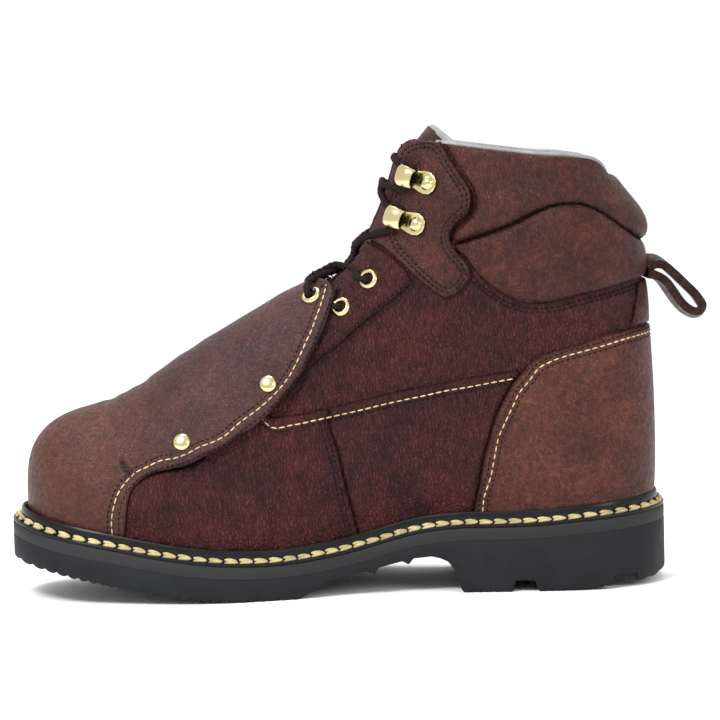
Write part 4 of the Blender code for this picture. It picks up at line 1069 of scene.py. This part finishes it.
# %% Sewing the rows
def row_points(line, height, side, pitch):
    """Places, directions and normals of the stitches of one row."""
    line = line[(line[:, 1] > table_value(SOLE_TOP, line[:, 0]) + 6)]
    x, z = line[:, 0], line[:, 1]
    normals = outward(x, z, side)
    deep = np.full(len(x), 5.0)
    places = on_skin(x, z, side) + normals * height(x, z, deep)[:, None]
    run = lengths(places)
    at = np.arange(pitch / 2, run[-1], pitch)
    spots = at_distance(places, at)
    ways = at_distance(places, at + 0.4) - at_distance(places, at - 0.4)
    return spots, ways, at_distance(normals, np.interp(at, run, lengths(normals)))


def stitch_matrix(place, way, normal, length, width, rise):
    way, normal = Vector(way).normalized(), Vector(normal).normalized()
    across = normal.cross(way).normalized()
    normal = way.cross(across)
    turn = Matrix((way * length / 2, across * width / 2, normal * rise / 2)).transposed().to_4x4()
    return Matrix.Translation(place) @ turn


def small_sphere(around, rings):
    bm = bmesh.new()
    bmesh.ops.create_uvsphere(bm, u_segments=around, v_segments=rings, radius=1)
    mesh = bpy.data.meshes.new("small_sphere")
    bm.to_mesh(mesh)
    bm.free()
    return mesh


def put_copies(bm, mesh, matrices):
    """Add a copy of a small mesh at each matrix, which is quicker than making each one anew."""
    for matrix in matrices:
        mesh.transform(matrix)
        bm.from_mesh(mesh)
        mesh.transform(matrix.inverted())


STITCH_SHAPE = small_sphere(6, 5)


def sew(name, rows, pitch, length, width, material):
    matrices = []
    for line, height in rows:
        for side in SIDES:
            for place, way, normal in zip(*row_points(line, height, side, pitch)):
                if Vector(way).length > 1e-6 and Vector(normal).length > 1e-6:
                    matrices.append(stitch_matrix(place, way, normal, length, width, width * 0.9))
    bm = bmesh.new()
    put_copies(bm, STITCH_SHAPE, matrices)
    print(len(matrices), "stitches")
    return add_piece(name, bm, material)


def shaft_top(x, z, depth):
    return np.full(len(x), 0.3)


def pad_seam_height(x, z, depth):
    return np.full(len(x), PAD_EDGE + 0.5)


sew("cream_stitches",
    [(TOE_ROW, guard_height), (QUARTER_ROW, vamp_height), (COUNTER_ROW, counter_height)],
    3.75, 3.3, 0.8, CREAM_THREAD)
dark = [(row, guard_height) for row in DARK_ROWS["toe"]]
dark += [(row, vamp_height) for row in DARK_ROWS["quarter"] + DARK_ROWS["seam"]]
dark += [(row, counter_height) for row in DARK_ROWS["counter"]]
dark += [(row, facing_height) for row in DARK_ROWS["facing"]]
dark += [(row, eyestay_height) for row in DARK_ROWS["eyestay"]]
dark += [(row, shaft_top) for row in DARK_ROWS["low"]]
dark += [(PAD_SEAM[4:-8], pad_seam_height)]
sew("dark_stitches", dark, 2.6, 2.1, 0.8, DARK_THREAD)

# %% [markdown]
# ## Sole
#
# Everything on the sole's edge follows one plan outline, the last's feather edge moved outwards.
# A section swept round it gives the welt, the midsole band and the wall of the outsole. The tread
# underneath is a grid whose points sink into grooves.

# %% Plan outline
WELT_MARGIN = 9.3
HEEL_TRIM = 0.24
HEEL_TRIM_START = 112
HEEL_TRIM_REACH = 34


def feather_outline(count=160):
    heel = np.interp(table_value(SOLE_TOP, BACK[0, 0]), BACK[:, 1], BACK[:, 0])
    turn = (1 - np.cos(np.linspace(0, pi, count))) / 2
    x = FOOT_EDGE[0, 0] + (heel - FOOT_EDGE[0, 0]) * turn
    z = table_value(SOLE_TOP, x) + 0.3
    inner, outer = (on_skin(x, z, side)[:, :2] for side in SIDES)
    return np.concatenate([inner, outer[-2:0:-1]])


def plan_outline(count):
    """Evenly spaced points of the plan outline, and the way out of it at each one."""
    loop = feather_outline()
    loop = evenly(np.concatenate([loop, loop[:1]]), count + 1)[:-1]
    reach = max(2, count // 120)
    run = np.roll(loop, -reach, 0) - np.roll(loop, reach, 0)
    normal = np.stack([run[:, 1], -run[:, 0]], -1) / np.linalg.norm(run, axis=1)[:, None]
    return loop, normal * np.sign((normal * (loop - loop.mean(0))).sum())


def heel_trim(x):
    """The sole's margin is narrower behind the heel."""
    return 1 - HEEL_TRIM * ease((x - HEEL_TRIM_START) / HEEL_TRIM_REACH)


def sweep_round(name, profile, count, material, replaces=()):
    """A closed section swept round the plan outline; profile gives reach and height at a place."""
    loop, normal = plan_outline(count)
    sections = profile(loop[:, 0], np.arange(count) / count * lengths(loop)[-1])
    bm = bmesh.new()
    around = sections.shape[1]
    grid = bmesh.ops.create_grid(bm, x_segments=around, y_segments=count, size=1)
    for index, vert in enumerate(grid["verts"]):
        k, m = (index // (around + 1)) % count, (index % (around + 1)) % around
        reach, height = sections[k, m]
        x, y = loop[k] + normal[k] * reach * heel_trim(loop[k, 0])
        vert.co = (x, y, height)
    bmesh.ops.remove_doubles(bm, verts=bm.verts, dist=0.0001)
    bmesh.ops.recalc_face_normals(bm, faces=bm.faces)
    return add_piece(name, bm, material, replaces)


print("plan outline", round(lengths(plan_outline(400)[0])[-1]), "mm round")

# %% Welt and midsole
WELT_SECTION = ((3.7, 0.3), (9.05, 0.3), (9.35, 0.8), (9.25, 1.4), (8.9, 1.7), (7.6, 1.5),
                (5.6, 1.4),
                (5.25, 2.2), (5.3, 3.4), (5.3, 4.8), (5.1, 6.2), (4.6, 7.0), (4.1, 6.9), (3.7, 5.5))
MIDSOLE_THICKNESS = 6.0


def over_sole(section):
    def profile(x, run):
        top = table_value(SOLE_TOP, x)
        return np.stack([np.stack([np.full(len(x), reach), top + height], -1)
                         for reach, height in section], 1)

    return profile


MIDSOLE_SECTION = ((2.0, 0.0), (8.8, 0.0), (9.3, -0.5), (9.3, -3.0), (9.25, -5.5), (9.0, -6.0),
                   (2.0, -6.0))
EDGE_STEPS = 640
sweep_round("welt_strip", over_sole(WELT_SECTION), EDGE_STEPS, WELT_RUBBER, ("welt",))
sweep_round("midsole_band", over_sole(MIDSOLE_SECTION), EDGE_STEPS, MIDSOLE_RUBBER,
            ("midsole",))

# %% Outsole
UNDERSIDE = ((-24, 0), (-14, 4), (-7, 8), (10.5, 11.3), (13.5, 9.6), (16, 12.8), (27.5, 15.4),
             (30.5, 13.8), (33, 16.6), (42, 17.3), (46, 16.4), (49.9, 14.7), (52.9, 10.5),
             (54.5, 6), (55.8, 1.6), (57.2, 0), (79.4, 0), (80.9, 5.2), (90, 5.2), (91.6, 0.2),
             (110, 0.7), (124, 1.8), (125.4, 6.8), (133.8, 6.2), (134.8, 2.8),
             (142, 3.4), (149, 6.4), (157, 12))
BALL_START = -48
TOE_TIP = -156.6
TOE_SPRING = 22
SPRING_POWER = 1.5
TOOTH_PITCH = 4.5
TOOTH_DEPTH = 1.3


def underside(x):
    along = np.clip(BALL_START - x, 0, None) / (BALL_START - TOE_TIP)
    rear = np.interp(x, [row[0] for row in UNDERSIDE], [row[1] for row in UNDERSIDE])
    return np.where(x < BALL_START, TOE_SPRING * along**SPRING_POWER, rear)


def teeth(x):
    """Fine teeth along the lower edge of the forefoot and the heel."""
    wave = np.abs(((x / TOOTH_PITCH + 0.25 * np.sin(x / 9)) % 1) - 0.5) * 2
    share = ease((-24 - x) / 6) + 0.35 * ease((x - 60) / 3)
    return TOOTH_DEPTH * wave**3 * np.clip(share, 0, 1)


def outsole_wall(x, run):
    low = underside(x) + teeth(x)
    top = table_value(SOLE_TOP, x) - MIDSOLE_THICKNESS - 0.1
    rows = [(2.0, top), (9.0, top), (9.3, top - 0.6), (9.3, low + 1.6), (9.1, low + 0.6),
            (8.5, low),
            (5.5, low), (2.0, low + 1.5)]
    return np.stack([np.stack([np.full(len(x), reach), height], -1) for reach, height in rows], 1)


wall = sweep_round("outsole_wall", outsole_wall, 900, OUTSOLE_RUBBER)

# %% Tread
TREAD_ROWS = 300
TREAD_ACROSS = 90
LUG_LENGTH = 13
LUG_WIDTH = 20
GROOVE = 3.4
GROOVE_DEPTH = 3.2
TREAD_START = TOE_TIP + 2.2
TREAD_END = 152.2
TREAD_INSET = 1.6


def sole_edges(margin, x):
    loop, normal = plan_outline(400)
    loop = loop + normal * margin * heel_trim(loop[:, :1])
    toe, heel = int(loop[:, 0].argmin()), int(loop[:, 0].argmax())
    turned = np.roll(loop, -toe, 0)
    heel = (heel - toe) % len(loop)
    inner, outer = turned[:heel + 1], np.concatenate([turned[heel:], turned[:1]])[::-1]
    return np.interp(x, inner[:, 0], inner[:, 1]), np.interp(x, outer[:, 0], outer[:, 1])


def lugs(x, y):
    """Depth of the grooves between the lugs at a spot of the sole."""
    fore = ease((-26 - x) / 4)
    heel = ease((x - 60) / 3)
    zigzag = 3.0 * np.abs(((y / 22) % 1) - 0.5) * 2
    across = np.abs(((x + zigzag) / LUG_LENGTH) % 1 - 0.5) * LUG_LENGTH
    along = np.abs(((y + 60) / LUG_WIDTH) % 1 - 0.5) * LUG_WIDTH
    cut = np.maximum(1 - ease((across - GROOVE / 2 + 0.4) / 0.8), 1 - ease((along - 1.2) / 0.8))
    return GROOVE_DEPTH * cut * np.clip(fore + heel, 0, 1)


def make_tread():
    x = np.linspace(TREAD_START, TREAD_END, TREAD_ROWS)
    inner, outer = sole_edges(WELT_MARGIN - TREAD_INSET, x)
    bm = bmesh.new()
    grid = bmesh.ops.create_grid(bm, x_segments=TREAD_ACROSS, y_segments=TREAD_ROWS - 1, size=1)
    for index, vert in enumerate(grid["verts"]):
        k, m = divmod(index, TREAD_ACROSS + 1)
        y = inner[k] + (outer[k] - inner[k]) * m / TREAD_ACROSS
        vert.co = (x[k], y, 0)
    spots = np.array([vert.co for vert in grid["verts"]])
    edge = np.minimum(spots[:, 1] - np.repeat(inner, TREAD_ACROSS + 1),
                      np.repeat(outer, TREAD_ACROSS + 1) - spots[:, 1])
    depth = lugs(spots[:, 0], spots[:, 1]) * ease((edge - 7) / 3)
    for vert, low, deep in zip(grid["verts"], underside(spots[:, 0]), depth):
        vert.co.z = low + deep + 0.25
    grown = bmesh.ops.extrude_face_region(bm, geom=list(bm.faces))
    top = [item for item in grown["geom"] if isinstance(item, bmesh.types.BMVert)]
    for vert in top:
        vert.co.z = float(table_value(SOLE_TOP, vert.co.x)) - MIDSOLE_THICKNESS - 0.5
    bmesh.ops.recalc_face_normals(bm, faces=bm.faces)
    return add_piece("outsole_tread", bm, OUTSOLE_RUBBER, ("outsole",))


make_tread()
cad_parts["insole"].data.materials.clear()
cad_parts["insole"].data.materials.append(LINING)

# %% [markdown]
# ## Welt stitching
#
# The welt is sewn with waxed thread as thick as string. Every stitch is a fat, slightly twisted
# loop that bulges in the middle and dives into the strip at both ends.

# %% Welt stitches
WELT_STITCHES = 100
WELT_STITCH_REACH = 6.5
WELT_STITCH_SHAPE = small_sphere(10, 8)


def make_welt_stitches():
    """Each stitch is two fat plies that cross at a small angle and arch out of the groove."""
    loop, normal = plan_outline(WELT_STITCHES)
    draw = np.random.default_rng(21)
    run = np.roll(loop, -1, 0) - np.roll(loop, 1, 0)
    pitch = lengths(loop)[-1] / WELT_STITCHES
    matrices = []
    for (x, y), out, (dx, dy) in zip(loop, normal, run):
        slope = float(table_value(SOLE_TOP, x + dx) - table_value(SOLE_TOP, x - dx)) / 2
        for turn in (-1, 1):
            reach = (WELT_STITCH_REACH + turn * 0.55) * heel_trim(x)
            level = float(table_value(SOLE_TOP, x)) + 2.3 - turn * 0.35 + draw.normal() * 0.1
            way = Vector((dx + out[0] * turn * 1.6, dy + out[1] * turn * 1.6,
                          slope + turn * 2.2 + draw.normal() * 0.3))
            place = (x + out[0] * reach, y + out[1] * reach, level)
            matrices.append(stitch_matrix(place, way, (out[0] * 0.6, out[1] * 0.6, 1),
                                          pitch * (1.0 + draw.normal() * 0.03), 2.1, 2.3))
    bm = bmesh.new()
    put_copies(bm, WELT_STITCH_SHAPE, matrices)
    return add_piece("welt_stitches", bm, WELT_THREAD)


make_welt_stitches()

# %% [markdown]
# ## Brass fittings
#
# Eyelets and rivets are turned: a short profile is spun round. A hook is a riveted plate whose
# front end curls back over the lace.

# %% Frames on the leather
def seat(x, z, side, height, tilt=0.0):
    """Matrix at a spot of the leather: Z out of it, X rearwards."""
    x, z = np.array(float(x)), np.array(float(z))
    normal = Vector(outward(x, z, side))
    place = Vector(on_skin(x, z, side)) + normal * height
    along = (Vector((1, 0, 0)) - normal * normal.x).normalized()
    turn = Matrix((along, normal.cross(along), normal)).transposed().to_4x4()
    return Matrix.Translation(place) @ turn @ Matrix.Rotation(radians(tilt) * -SIGN[side], 4, "Z")


def spun(bm, profile, matrix, steps=32):
    """Spin a profile of radius and height round the Z axis of a frame."""
    verts = [bm.verts.new((radius, 0, height)) for radius, height in profile]
    edges = [bm.edges.new(pair) for pair in zip(verts, verts[1:])]
    bmesh.ops.spin(bm, geom=verts + edges, cent=(0, 0, 0), axis=(0, 0, 1), angle=tau,
                   steps=steps, use_merge=True)
    linked = {vert for edge in edges for vert in edge.verts}
    stack = list(linked)
    while stack:
        for edge in stack.pop().link_edges:
            for vert in edge.verts:
                if vert not in linked:
                    linked.add(vert)
                    stack.append(vert)
    bmesh.ops.transform(bm, matrix=matrix, verts=list(linked))


EYELET_SECTION = ((2.6, -1.2), (2.6, 0.7), (2.85, 1.35), (3.4, 1.65), (4.0, 1.55), (4.6, 1.0),
                  (4.9, 0.35), (4.95, -0.2))
RIVET_SECTION = ((0.001, 1.75), (1.2, 1.7), (2.4, 1.5), (3.3, 1.1), (3.9, 0.55), (4.15, 0.0),
                 (4.1, -0.4))
EYELETS = {"low": (2.6, 134), "high": (16, 147)}
GUARD_EYELET = (-9.2, 135.8)
RIVETS = {"front": (-72.6, 72.6), "rear": (-32, 98.2)}


def height_at(height, x, z):
    return float(height(np.array([float(x)]), np.array([float(z)]), np.array([5.0]))[0])


def make_turned():
    for side in SIDES:
        for row, (x, z) in EYELETS.items():
            bm = bmesh.new()
            spun(bm, EYELET_SECTION, seat(x, z, side, height_at(facing_height, x, z)))
            bmesh.ops.recalc_face_normals(bm, faces=bm.faces)
            add_piece(f"brass_eyelet_{row}_{side}", bm, BRASS, (f"eyelet_{row}_{side}",))
        bm = bmesh.new()
        spun(bm, EYELET_SECTION, seat(*GUARD_EYELET, side, height_at(guard_height, *GUARD_EYELET)))
        bmesh.ops.recalc_face_normals(bm, faces=bm.faces)
        add_piece(f"brass_eyelet_guard_{side}", bm, BRASS, (f"eyelet_guard_{side}",))
        for row, (x, z) in RIVETS.items():
            bm = bmesh.new()
            spun(bm, RIVET_SECTION, seat(x, z, side, height_at(guard_height, x, z)))
            bmesh.ops.remove_doubles(bm, verts=bm.verts, dist=0.01)
            bmesh.ops.recalc_face_normals(bm, faces=bm.faces)
            add_piece(f"brass_rivet_{row}_{side}", bm, BRASS,
                      (f"guard_rivet_{row}_{side}",))


make_turned()

# %% Hooks
HOOKS = {"lower": (35.4, 174), "upper": (41.4, 193)}
HOOK_TILT = -22
HOOK_PLATE = ((-8.5, -3.2), (-3, -3.8), (1.5, -5.0), (4.5, -5.3), (7.2, -4.5), (9.0, -2.4),
              (9.4, 0),
              (9.0, 2.4), (7.2, 4.5), (4.5, 5.3), (1.5, 5.0), (-3, 3.8), (-8.5, 3.2))
HOOD_LINE = ((-2.0, 0.9), (-5.4, 1.0), (-8.4, 1.2), (-9.9, 2.3), (-10.2, 4.0), (-9.2, 5.6),
             (-6.8, 6.5),
             (-3.6, 6.6), (-1.4, 5.8))
HOOD_HALF_WIDTH = 4.2
DOME_SECTION = ((0.001, 2.6), (1.2, 2.5), (2.3, 2.1), (3.1, 1.4), (3.4, 0.8), (3.5, 0.3))


def make_hook(row, side):
    x, z = HOOKS[row]
    matrix = seat(x, z, side, height_at(eyestay_height, x, z) + 0.1, HOOK_TILT)
    bm = bmesh.new()
    face = bm.faces.new([bm.verts.new((u, v, 0)) for u, v in HOOK_PLATE])
    grown = bmesh.ops.extrude_face_region(bm, geom=[face])
    moved = [item for item in grown["geom"] if isinstance(item, bmesh.types.BMVert)]
    bmesh.ops.translate(bm, verts=moved, vec=(0, 0, 1.0))
    bmesh.ops.recalc_face_normals(bm, faces=bm.faces)
    rim_edges = [edge for edge in bm.edges if abs(edge.verts[0].co.z - 1) < 0.01
                 and abs(edge.verts[1].co.z - 1) < 0.01]
    bmesh.ops.bevel(bm, geom=rim_edges, offset=0.35, segments=3, profile=0.5,
                    affect="EDGES", material=-1)
    hood = smooth_line(HOOD_LINE, 26)
    across = 9
    grid = bmesh.ops.create_grid(bm, x_segments=across - 1, y_segments=len(hood) - 1, size=1)
    for index, vert in enumerate(grid["verts"]):
        k, m = divmod(index, across)
        share = 2 * m / (across - 1) - 1
        crown = 1.3 * share**4 * ease((hood[k, 1] - 1.5) / 3)
        taper = 1 - 0.08 * ease((k / (len(hood) - 1) - 0.7) / 0.3) ** 2
        vert.co = (hood[k, 0] + crown * 0.4, share * HOOD_HALF_WIDTH * taper, hood[k, 1] - crown)
    sheet = list({face for vert in grid["verts"] for face in vert.link_faces})
    bmesh.ops.recalc_face_normals(bm, faces=sheet)
    bmesh.ops.solidify(bm, geom=sheet, thickness=0.9)
    bmesh.ops.transform(bm, matrix=matrix, verts=bm.verts)
    spun(bm, DOME_SECTION, matrix @ Matrix.Translation((4.4, 0, 0.3)), 24)
    bmesh.ops.remove_doubles(bm, verts=bm.verts, dist=0.005)
    add_piece(f"brass_hook_{row}_{side}", bm, BRASS, (f"hook_{row}_{side}",), 40)


for side in SIDES:
    for row in HOOKS:
        make_hook(row, side)

# %% [markdown]
# ## Tongue
#
# The tongue follows the inside of the shaft under the facings and stands free at its top, where
# the grey lining is rolled over its edge.

# %% Tongue
TONGUE_LINE = ((-35.5, 121), (-19, 131.5), (-5.2, 140.6), (4, 150.2), (11.2, 159.4), (17.4, 169.8),
               (22.4, 181), (26.4, 192), (30.6, 201), (35.6, 207.4), (40.8, 212.8), (45.4, 218.2))
TONGUE_HALF_WIDTH = 27
TONGUE_ROUND = 31
TONGUE_REACH = 44
TONGUE_ROWS = 90
TONGUE_COLUMNS = 41
TONGUE_THICKNESS = 1.5
PADDING_INSET = 1.4
PADDING = 2.6


def tongue_points(inset):
    """Rows of points across the tongue, from below the guard to the free end."""
    line = smooth_line(TONGUE_LINE, TONGUE_ROWS)
    run = np.gradient(line, axis=0)
    run /= np.linalg.norm(run, axis=1)[:, None]
    inward = np.stack([run[:, 1], -run[:, 0]], -1)
    across = np.linspace(-1, 1, TONGUE_COLUMNS) * TONGUE_HALF_WIDTH
    share = 1 - (1 - (np.abs(across) / TONGUE_ROUND) ** ROUNDNESS) ** (1 / ROUNDNESS)
    flat = line[:, None] + inward[:, None] * (share * TONGUE_REACH + inset)[None, :, None]
    return np.stack([flat[..., 0], spine(flat[..., 0]) + across, flat[..., 1]], -1)


def tongue_sheet(inset):
    bm = bmesh.new()
    grid = bmesh.ops.create_grid(bm, x_segments=TONGUE_COLUMNS - 1,
                                 y_segments=TONGUE_ROWS - 1, size=1)
    for vert, place in zip(grid["verts"], tongue_points(inset).reshape(-1, 3)):
        vert.co = place
    bm.normal_update()
    if sum(face.normal.x for face in bm.faces) > 0:
        bmesh.ops.reverse_faces(bm, faces=bm.faces)
    return bm


tongue = add_piece("tongue_leather", tongue_sheet(0), COLLAR_LEATHER, ("tongue",))
thicken(tongue, TONGUE_THICKNESS)
tongue_lining = add_piece("tongue_lining", tongue_sheet(PADDING_INSET), LINING)
thicken(tongue_lining, PADDING)

# %% Grey lining rolled over the edges
def rim_points(count=140):
    """Line just inside the rim, round the back from one eyestay to the other."""
    line = smooth_line(RIM_LINE, count)
    halves = []
    for side in SIDES:
        half = on_skin(line[:, 0], line[:, 1], side)
        half = half - outward(line[:, 0], line[:, 1] - 1.5, side) * 1.3 + (0, 0, 0.2)
        halves.append(half[line[:, 0] > 47])
    return np.concatenate([halves[0], halves[1][::-1]])


def tube(name, points, radius, material, replaces=(), resolution=4):
    """A round cord along a line, as a mesh."""
    curve = bpy.data.curves.new(name, "CURVE")
    curve.dimensions = "3D"
    curve.bevel_depth = radius
    curve.bevel_resolution = resolution
    curve.use_fill_caps = True
    for line in points:
        spline = curve.splines.new("POLY")
        spline.points.add(len(line) - 1)
        for knot, place in zip(spline.points, line):
            knot.co = (*place, 1)
    holder = bpy.data.objects.new(name, curve)
    bpy.context.scene.collection.objects.link(holder)
    evaluated = holder.evaluated_get(bpy.context.evaluated_depsgraph_get())
    bm = bmesh.new()
    bm.from_mesh(bpy.data.meshes.new_from_object(evaluated))
    bpy.data.objects.remove(holder)
    bmesh.ops.remove_doubles(bm, verts=bm.verts, dist=0.001)
    bmesh.ops.recalc_face_normals(bm, faces=bm.faces)
    return add_piece(name, bm, material, replaces)


tube("collar_lining", [evenly(rim_points(), 240)], 1.2, LINING)
tube("tongue_edge_lining", [tongue_points(2.4)[-1]], 2.1, LINING)

# %% [markdown]
# ## Pull loop
#
# A strap sewn in under the collar roll at the back, folded double so that it hangs in a loop.

# %% Pull loop
LOOP_LINE = ((146, 149.2), (150.2, 151.2), (153.8, 150.9), (159.2, 146.7), (165.3, 140.7),
             (172.4, 132.8),
             (174.3, 129), (173.5, 126.9), (171.1, 126), (166.6, 127.9), (163, 131.5),
             (159.3, 136.9),
             (155.2, 142.4), (151, 145.2), (146, 146.2))
LOOP_HALF_WIDTH = 6.6
LOOP_MIDDLE = np.array((161.0, 139.0))
LOOP_SPREAD = 0.1
LOOP_SKEW = np.array((-0.9, 0.2))
LOOP_COLUMNS = 10
LOOP_THICKNESS = 4.0


def make_loop():
    """The strap hangs a little askew, so the far edge is wider than the near one."""
    line = smooth_line(LOOP_LINE, 80)
    bm = bmesh.new()
    grid = bmesh.ops.create_grid(bm, x_segments=LOOP_COLUMNS, y_segments=len(line) - 1, size=1)
    for index, vert in enumerate(grid["verts"]):
        k, m = divmod(index, LOOP_COLUMNS + 1)
        share = m / (LOOP_COLUMNS / 2) - 1
        spread = (line[k] - LOOP_MIDDLE) * (1 + LOOP_SPREAD * share)
        x, z = LOOP_MIDDLE + spread + LOOP_SKEW * share
        vert.co = (x, share * LOOP_HALF_WIDTH, z)
    bmesh.ops.recalc_face_normals(bm, faces=bm.faces)
    loop = add_piece("loop_strap", bm, COLLAR_LEATHER, ("pull_loop",))
    thicken(loop, LOOP_THICKNESS).modifiers["thickness"].offset = 0
    edge = loop.modifiers.new("edge", "BEVEL")
    edge.width = 0.0005
    edge.segments = 2
    loop.data.materials.append(EDGE_LEATHER)
    loop.modifiers["thickness"].material_offset_rim = 1


make_loop()

# %% [markdown]
# ## Laces
#
# The lace is a round braid. Four strands wind to the left and four to the right round a core, and
# each one rises and falls as it passes over and under the others.

# %% Braided cord
LACE_RADIUS = 1.6
BRAID_PITCH = 9.0
BRAID_WAVE = 0.12
STRAND_REACH = LACE_RADIUS - 0.42


def braid(name, routes, replaces):
    """Braided cords along routes; each is a list of points of its middle line."""
    cores, strands = [], []
    for route in routes:
        line = smooth_line(route, 14 * len(route))
        line = evenly(line, int(lengths(line)[-1] / 0.45))
        run = lengths(line)
        way = np.gradient(line, axis=0)
        way /= np.linalg.norm(way, axis=1)[:, None]
        side = np.cross(way, (0.3, 0.2, 1.0))
        side /= np.linalg.norm(side, axis=1)[:, None]
        up = np.cross(side, way)
        cores.append(line[::3])
        for turn in (-1, 1):
            for k in range(4):
                angle = turn * tau * run / BRAID_PITCH + k * tau / 4
                wave = np.sin(4 * tau * run / BRAID_PITCH + (k + turn) * pi)
                over = STRAND_REACH * (1 + BRAID_WAVE * wave)
                ring = side.T * np.cos(angle) * over + up.T * np.sin(angle) * over
                strands.append(line + ring.T)
    bm = bmesh.new()
    for lines, radius, resolution in ((cores, 1.1, 2), (strands, 0.44, 0)):
        curve = bpy.data.curves.new(name, "CURVE")
        curve.dimensions = "3D"
        curve.bevel_depth = radius
        curve.bevel_resolution = resolution
        curve.use_fill_caps = True
        for points in lines:
            spline = curve.splines.new("POLY")
            spline.points.add(len(points) - 1)
            spline.points.foreach_set("co", np.column_stack([points, np.ones(len(points))]).ravel())
        holder = bpy.data.objects.new(name, curve)
        bpy.context.scene.collection.objects.link(holder)
        evaluated = holder.evaluated_get(bpy.context.evaluated_depsgraph_get())
        bm.from_mesh(bpy.data.meshes.new_from_object(evaluated))
        bpy.data.objects.remove(holder)
    bmesh.ops.remove_doubles(bm, verts=bm.verts, dist=0.0005)
    return add_piece(name, bm, LACE_CORD, replaces, 70)


def hook_turn(row, side, upwards=True):
    """Three points of a lace under the hood of a hook, from below to above it."""
    x, z = HOOKS[row]
    matrix = seat(x, z, side, height_at(eyestay_height, x, z) + 0.1, HOOK_TILT)
    sign = -SIGN[side]
    spots = [(-5.6, -5.2, 2.4), (-4.6, 0, 3.2), (-5.6, 5.2, 2.4)]
    points = [tuple(matrix @ Vector((u, v * sign, w))) for u, v, w in spots]
    return points if upwards else points[::-1]


def raised(points, rise):
    """A strand lifted where it crosses another one, near the middle of the boot."""
    return [(x, y, z + rise * float(np.exp(-(y / 7) ** 2))) for x, y, z in points]


def mirrored(points):
    return [(x, -y, z) for x, y, z in points]


def through(spot, side, height, steps):
    """Points of a lace through an eyelet: along the boot, across it and out of the leather."""
    matrix = seat(*spot, side, height_at(height, *spot))
    return [tuple(matrix @ Vector(step)) for step in steps]


def over_guard(side, rise):
    other = SIDES[side == "medial"]
    middle = [(-12.0, -15, 146.8), (-6.5, -7, 149.2), (-0.8, 0, 150.6), (3.4, 7, 151.9),
              (6.0, 15.5, 152.4),
              (9.2, 23, 151.6)]
    middle = [(x, y * -SIGN[side], z) for x, y, z in middle]
    return (through(GUARD_EYELET, side, guard_height,
                    ((-0.4, 0, -2.2), (-0.8, 0, 0.6), (-0.8, 0, 3.0)))
            + raised(middle, rise)
            + through(EYELETS["high"], other, facing_height,
                      ((-3.2, 0, 2.4), (-1.0, 0, 0.9), (-0.3, 0, -1.8))))


def under_flap(side):
    """The short run from the low eyelet forwards, between the facing and the flap."""
    x, z = np.array(((-4.2, -9.5, -15), (133.4, 132.4, 131)))
    hidden = on_skin(x, z, side) + outward(x, z, side) * 2.2
    return (through(EYELETS["low"], side, facing_height, ((-0.3, 0, -1.8), (-1.0, 0, 0.9)))
            + [tuple(place) for place in hidden])


INSTEP = [(4.6, 16, 152), (8.4, 7, 157.4), (9.2, 0, 160.0), (10.6, -7, 162.8), (12.4, -13.5, 165.2),
          (15.0, -19.5, 167.0), (18.6, -24.6, 168.6), (22.2, -28.8, 169.8)]
ANKLE = [(24.8, -28.2, 181.4), (23.2, -22.4, 184.6), (22.2, -14, 187.0), (22.6, -6, 189),
         (23.0, 0, 190.2), (23.0, 6, 191.2), (23.0, 13, 191.8), (23.6, 20.6, 191.6),
         (26.8, 27.6, 190.4)]
TOP_BAR = [(31.4, 28.4, 200.8), (29.6, 23.8, 202.2), (29.0, 16, 203.2), (29.2, 8, 203.9),
           (29.3, 0, 204.2)]
# Where two strands cross, the upper one is lifted this much
OVER_STRAND = 2.6
first = (raised(INSTEP, -0.5) + hook_turn("lower", "medial") + raised(ANKLE, -0.6)
         + hook_turn("upper", "lateral") + TOP_BAR)
second = (raised(mirrored(INSTEP), OVER_STRAND) + hook_turn("lower", "lateral")
          + raised(mirrored(ANKLE), OVER_STRAND)
          + hook_turn("upper", "medial") + mirrored(TOP_BAR)[:-1])
braid("shaft_lace", [first + second[::-1]], ("lace_over_instep", "lace_over_ankle", "lace_top"))
braid("guard_lace", [over_guard("medial", -0.4), over_guard("lateral", OVER_STRAND), under_flap("medial"),
                     under_flap("lateral")], ("lace_over_guard",))
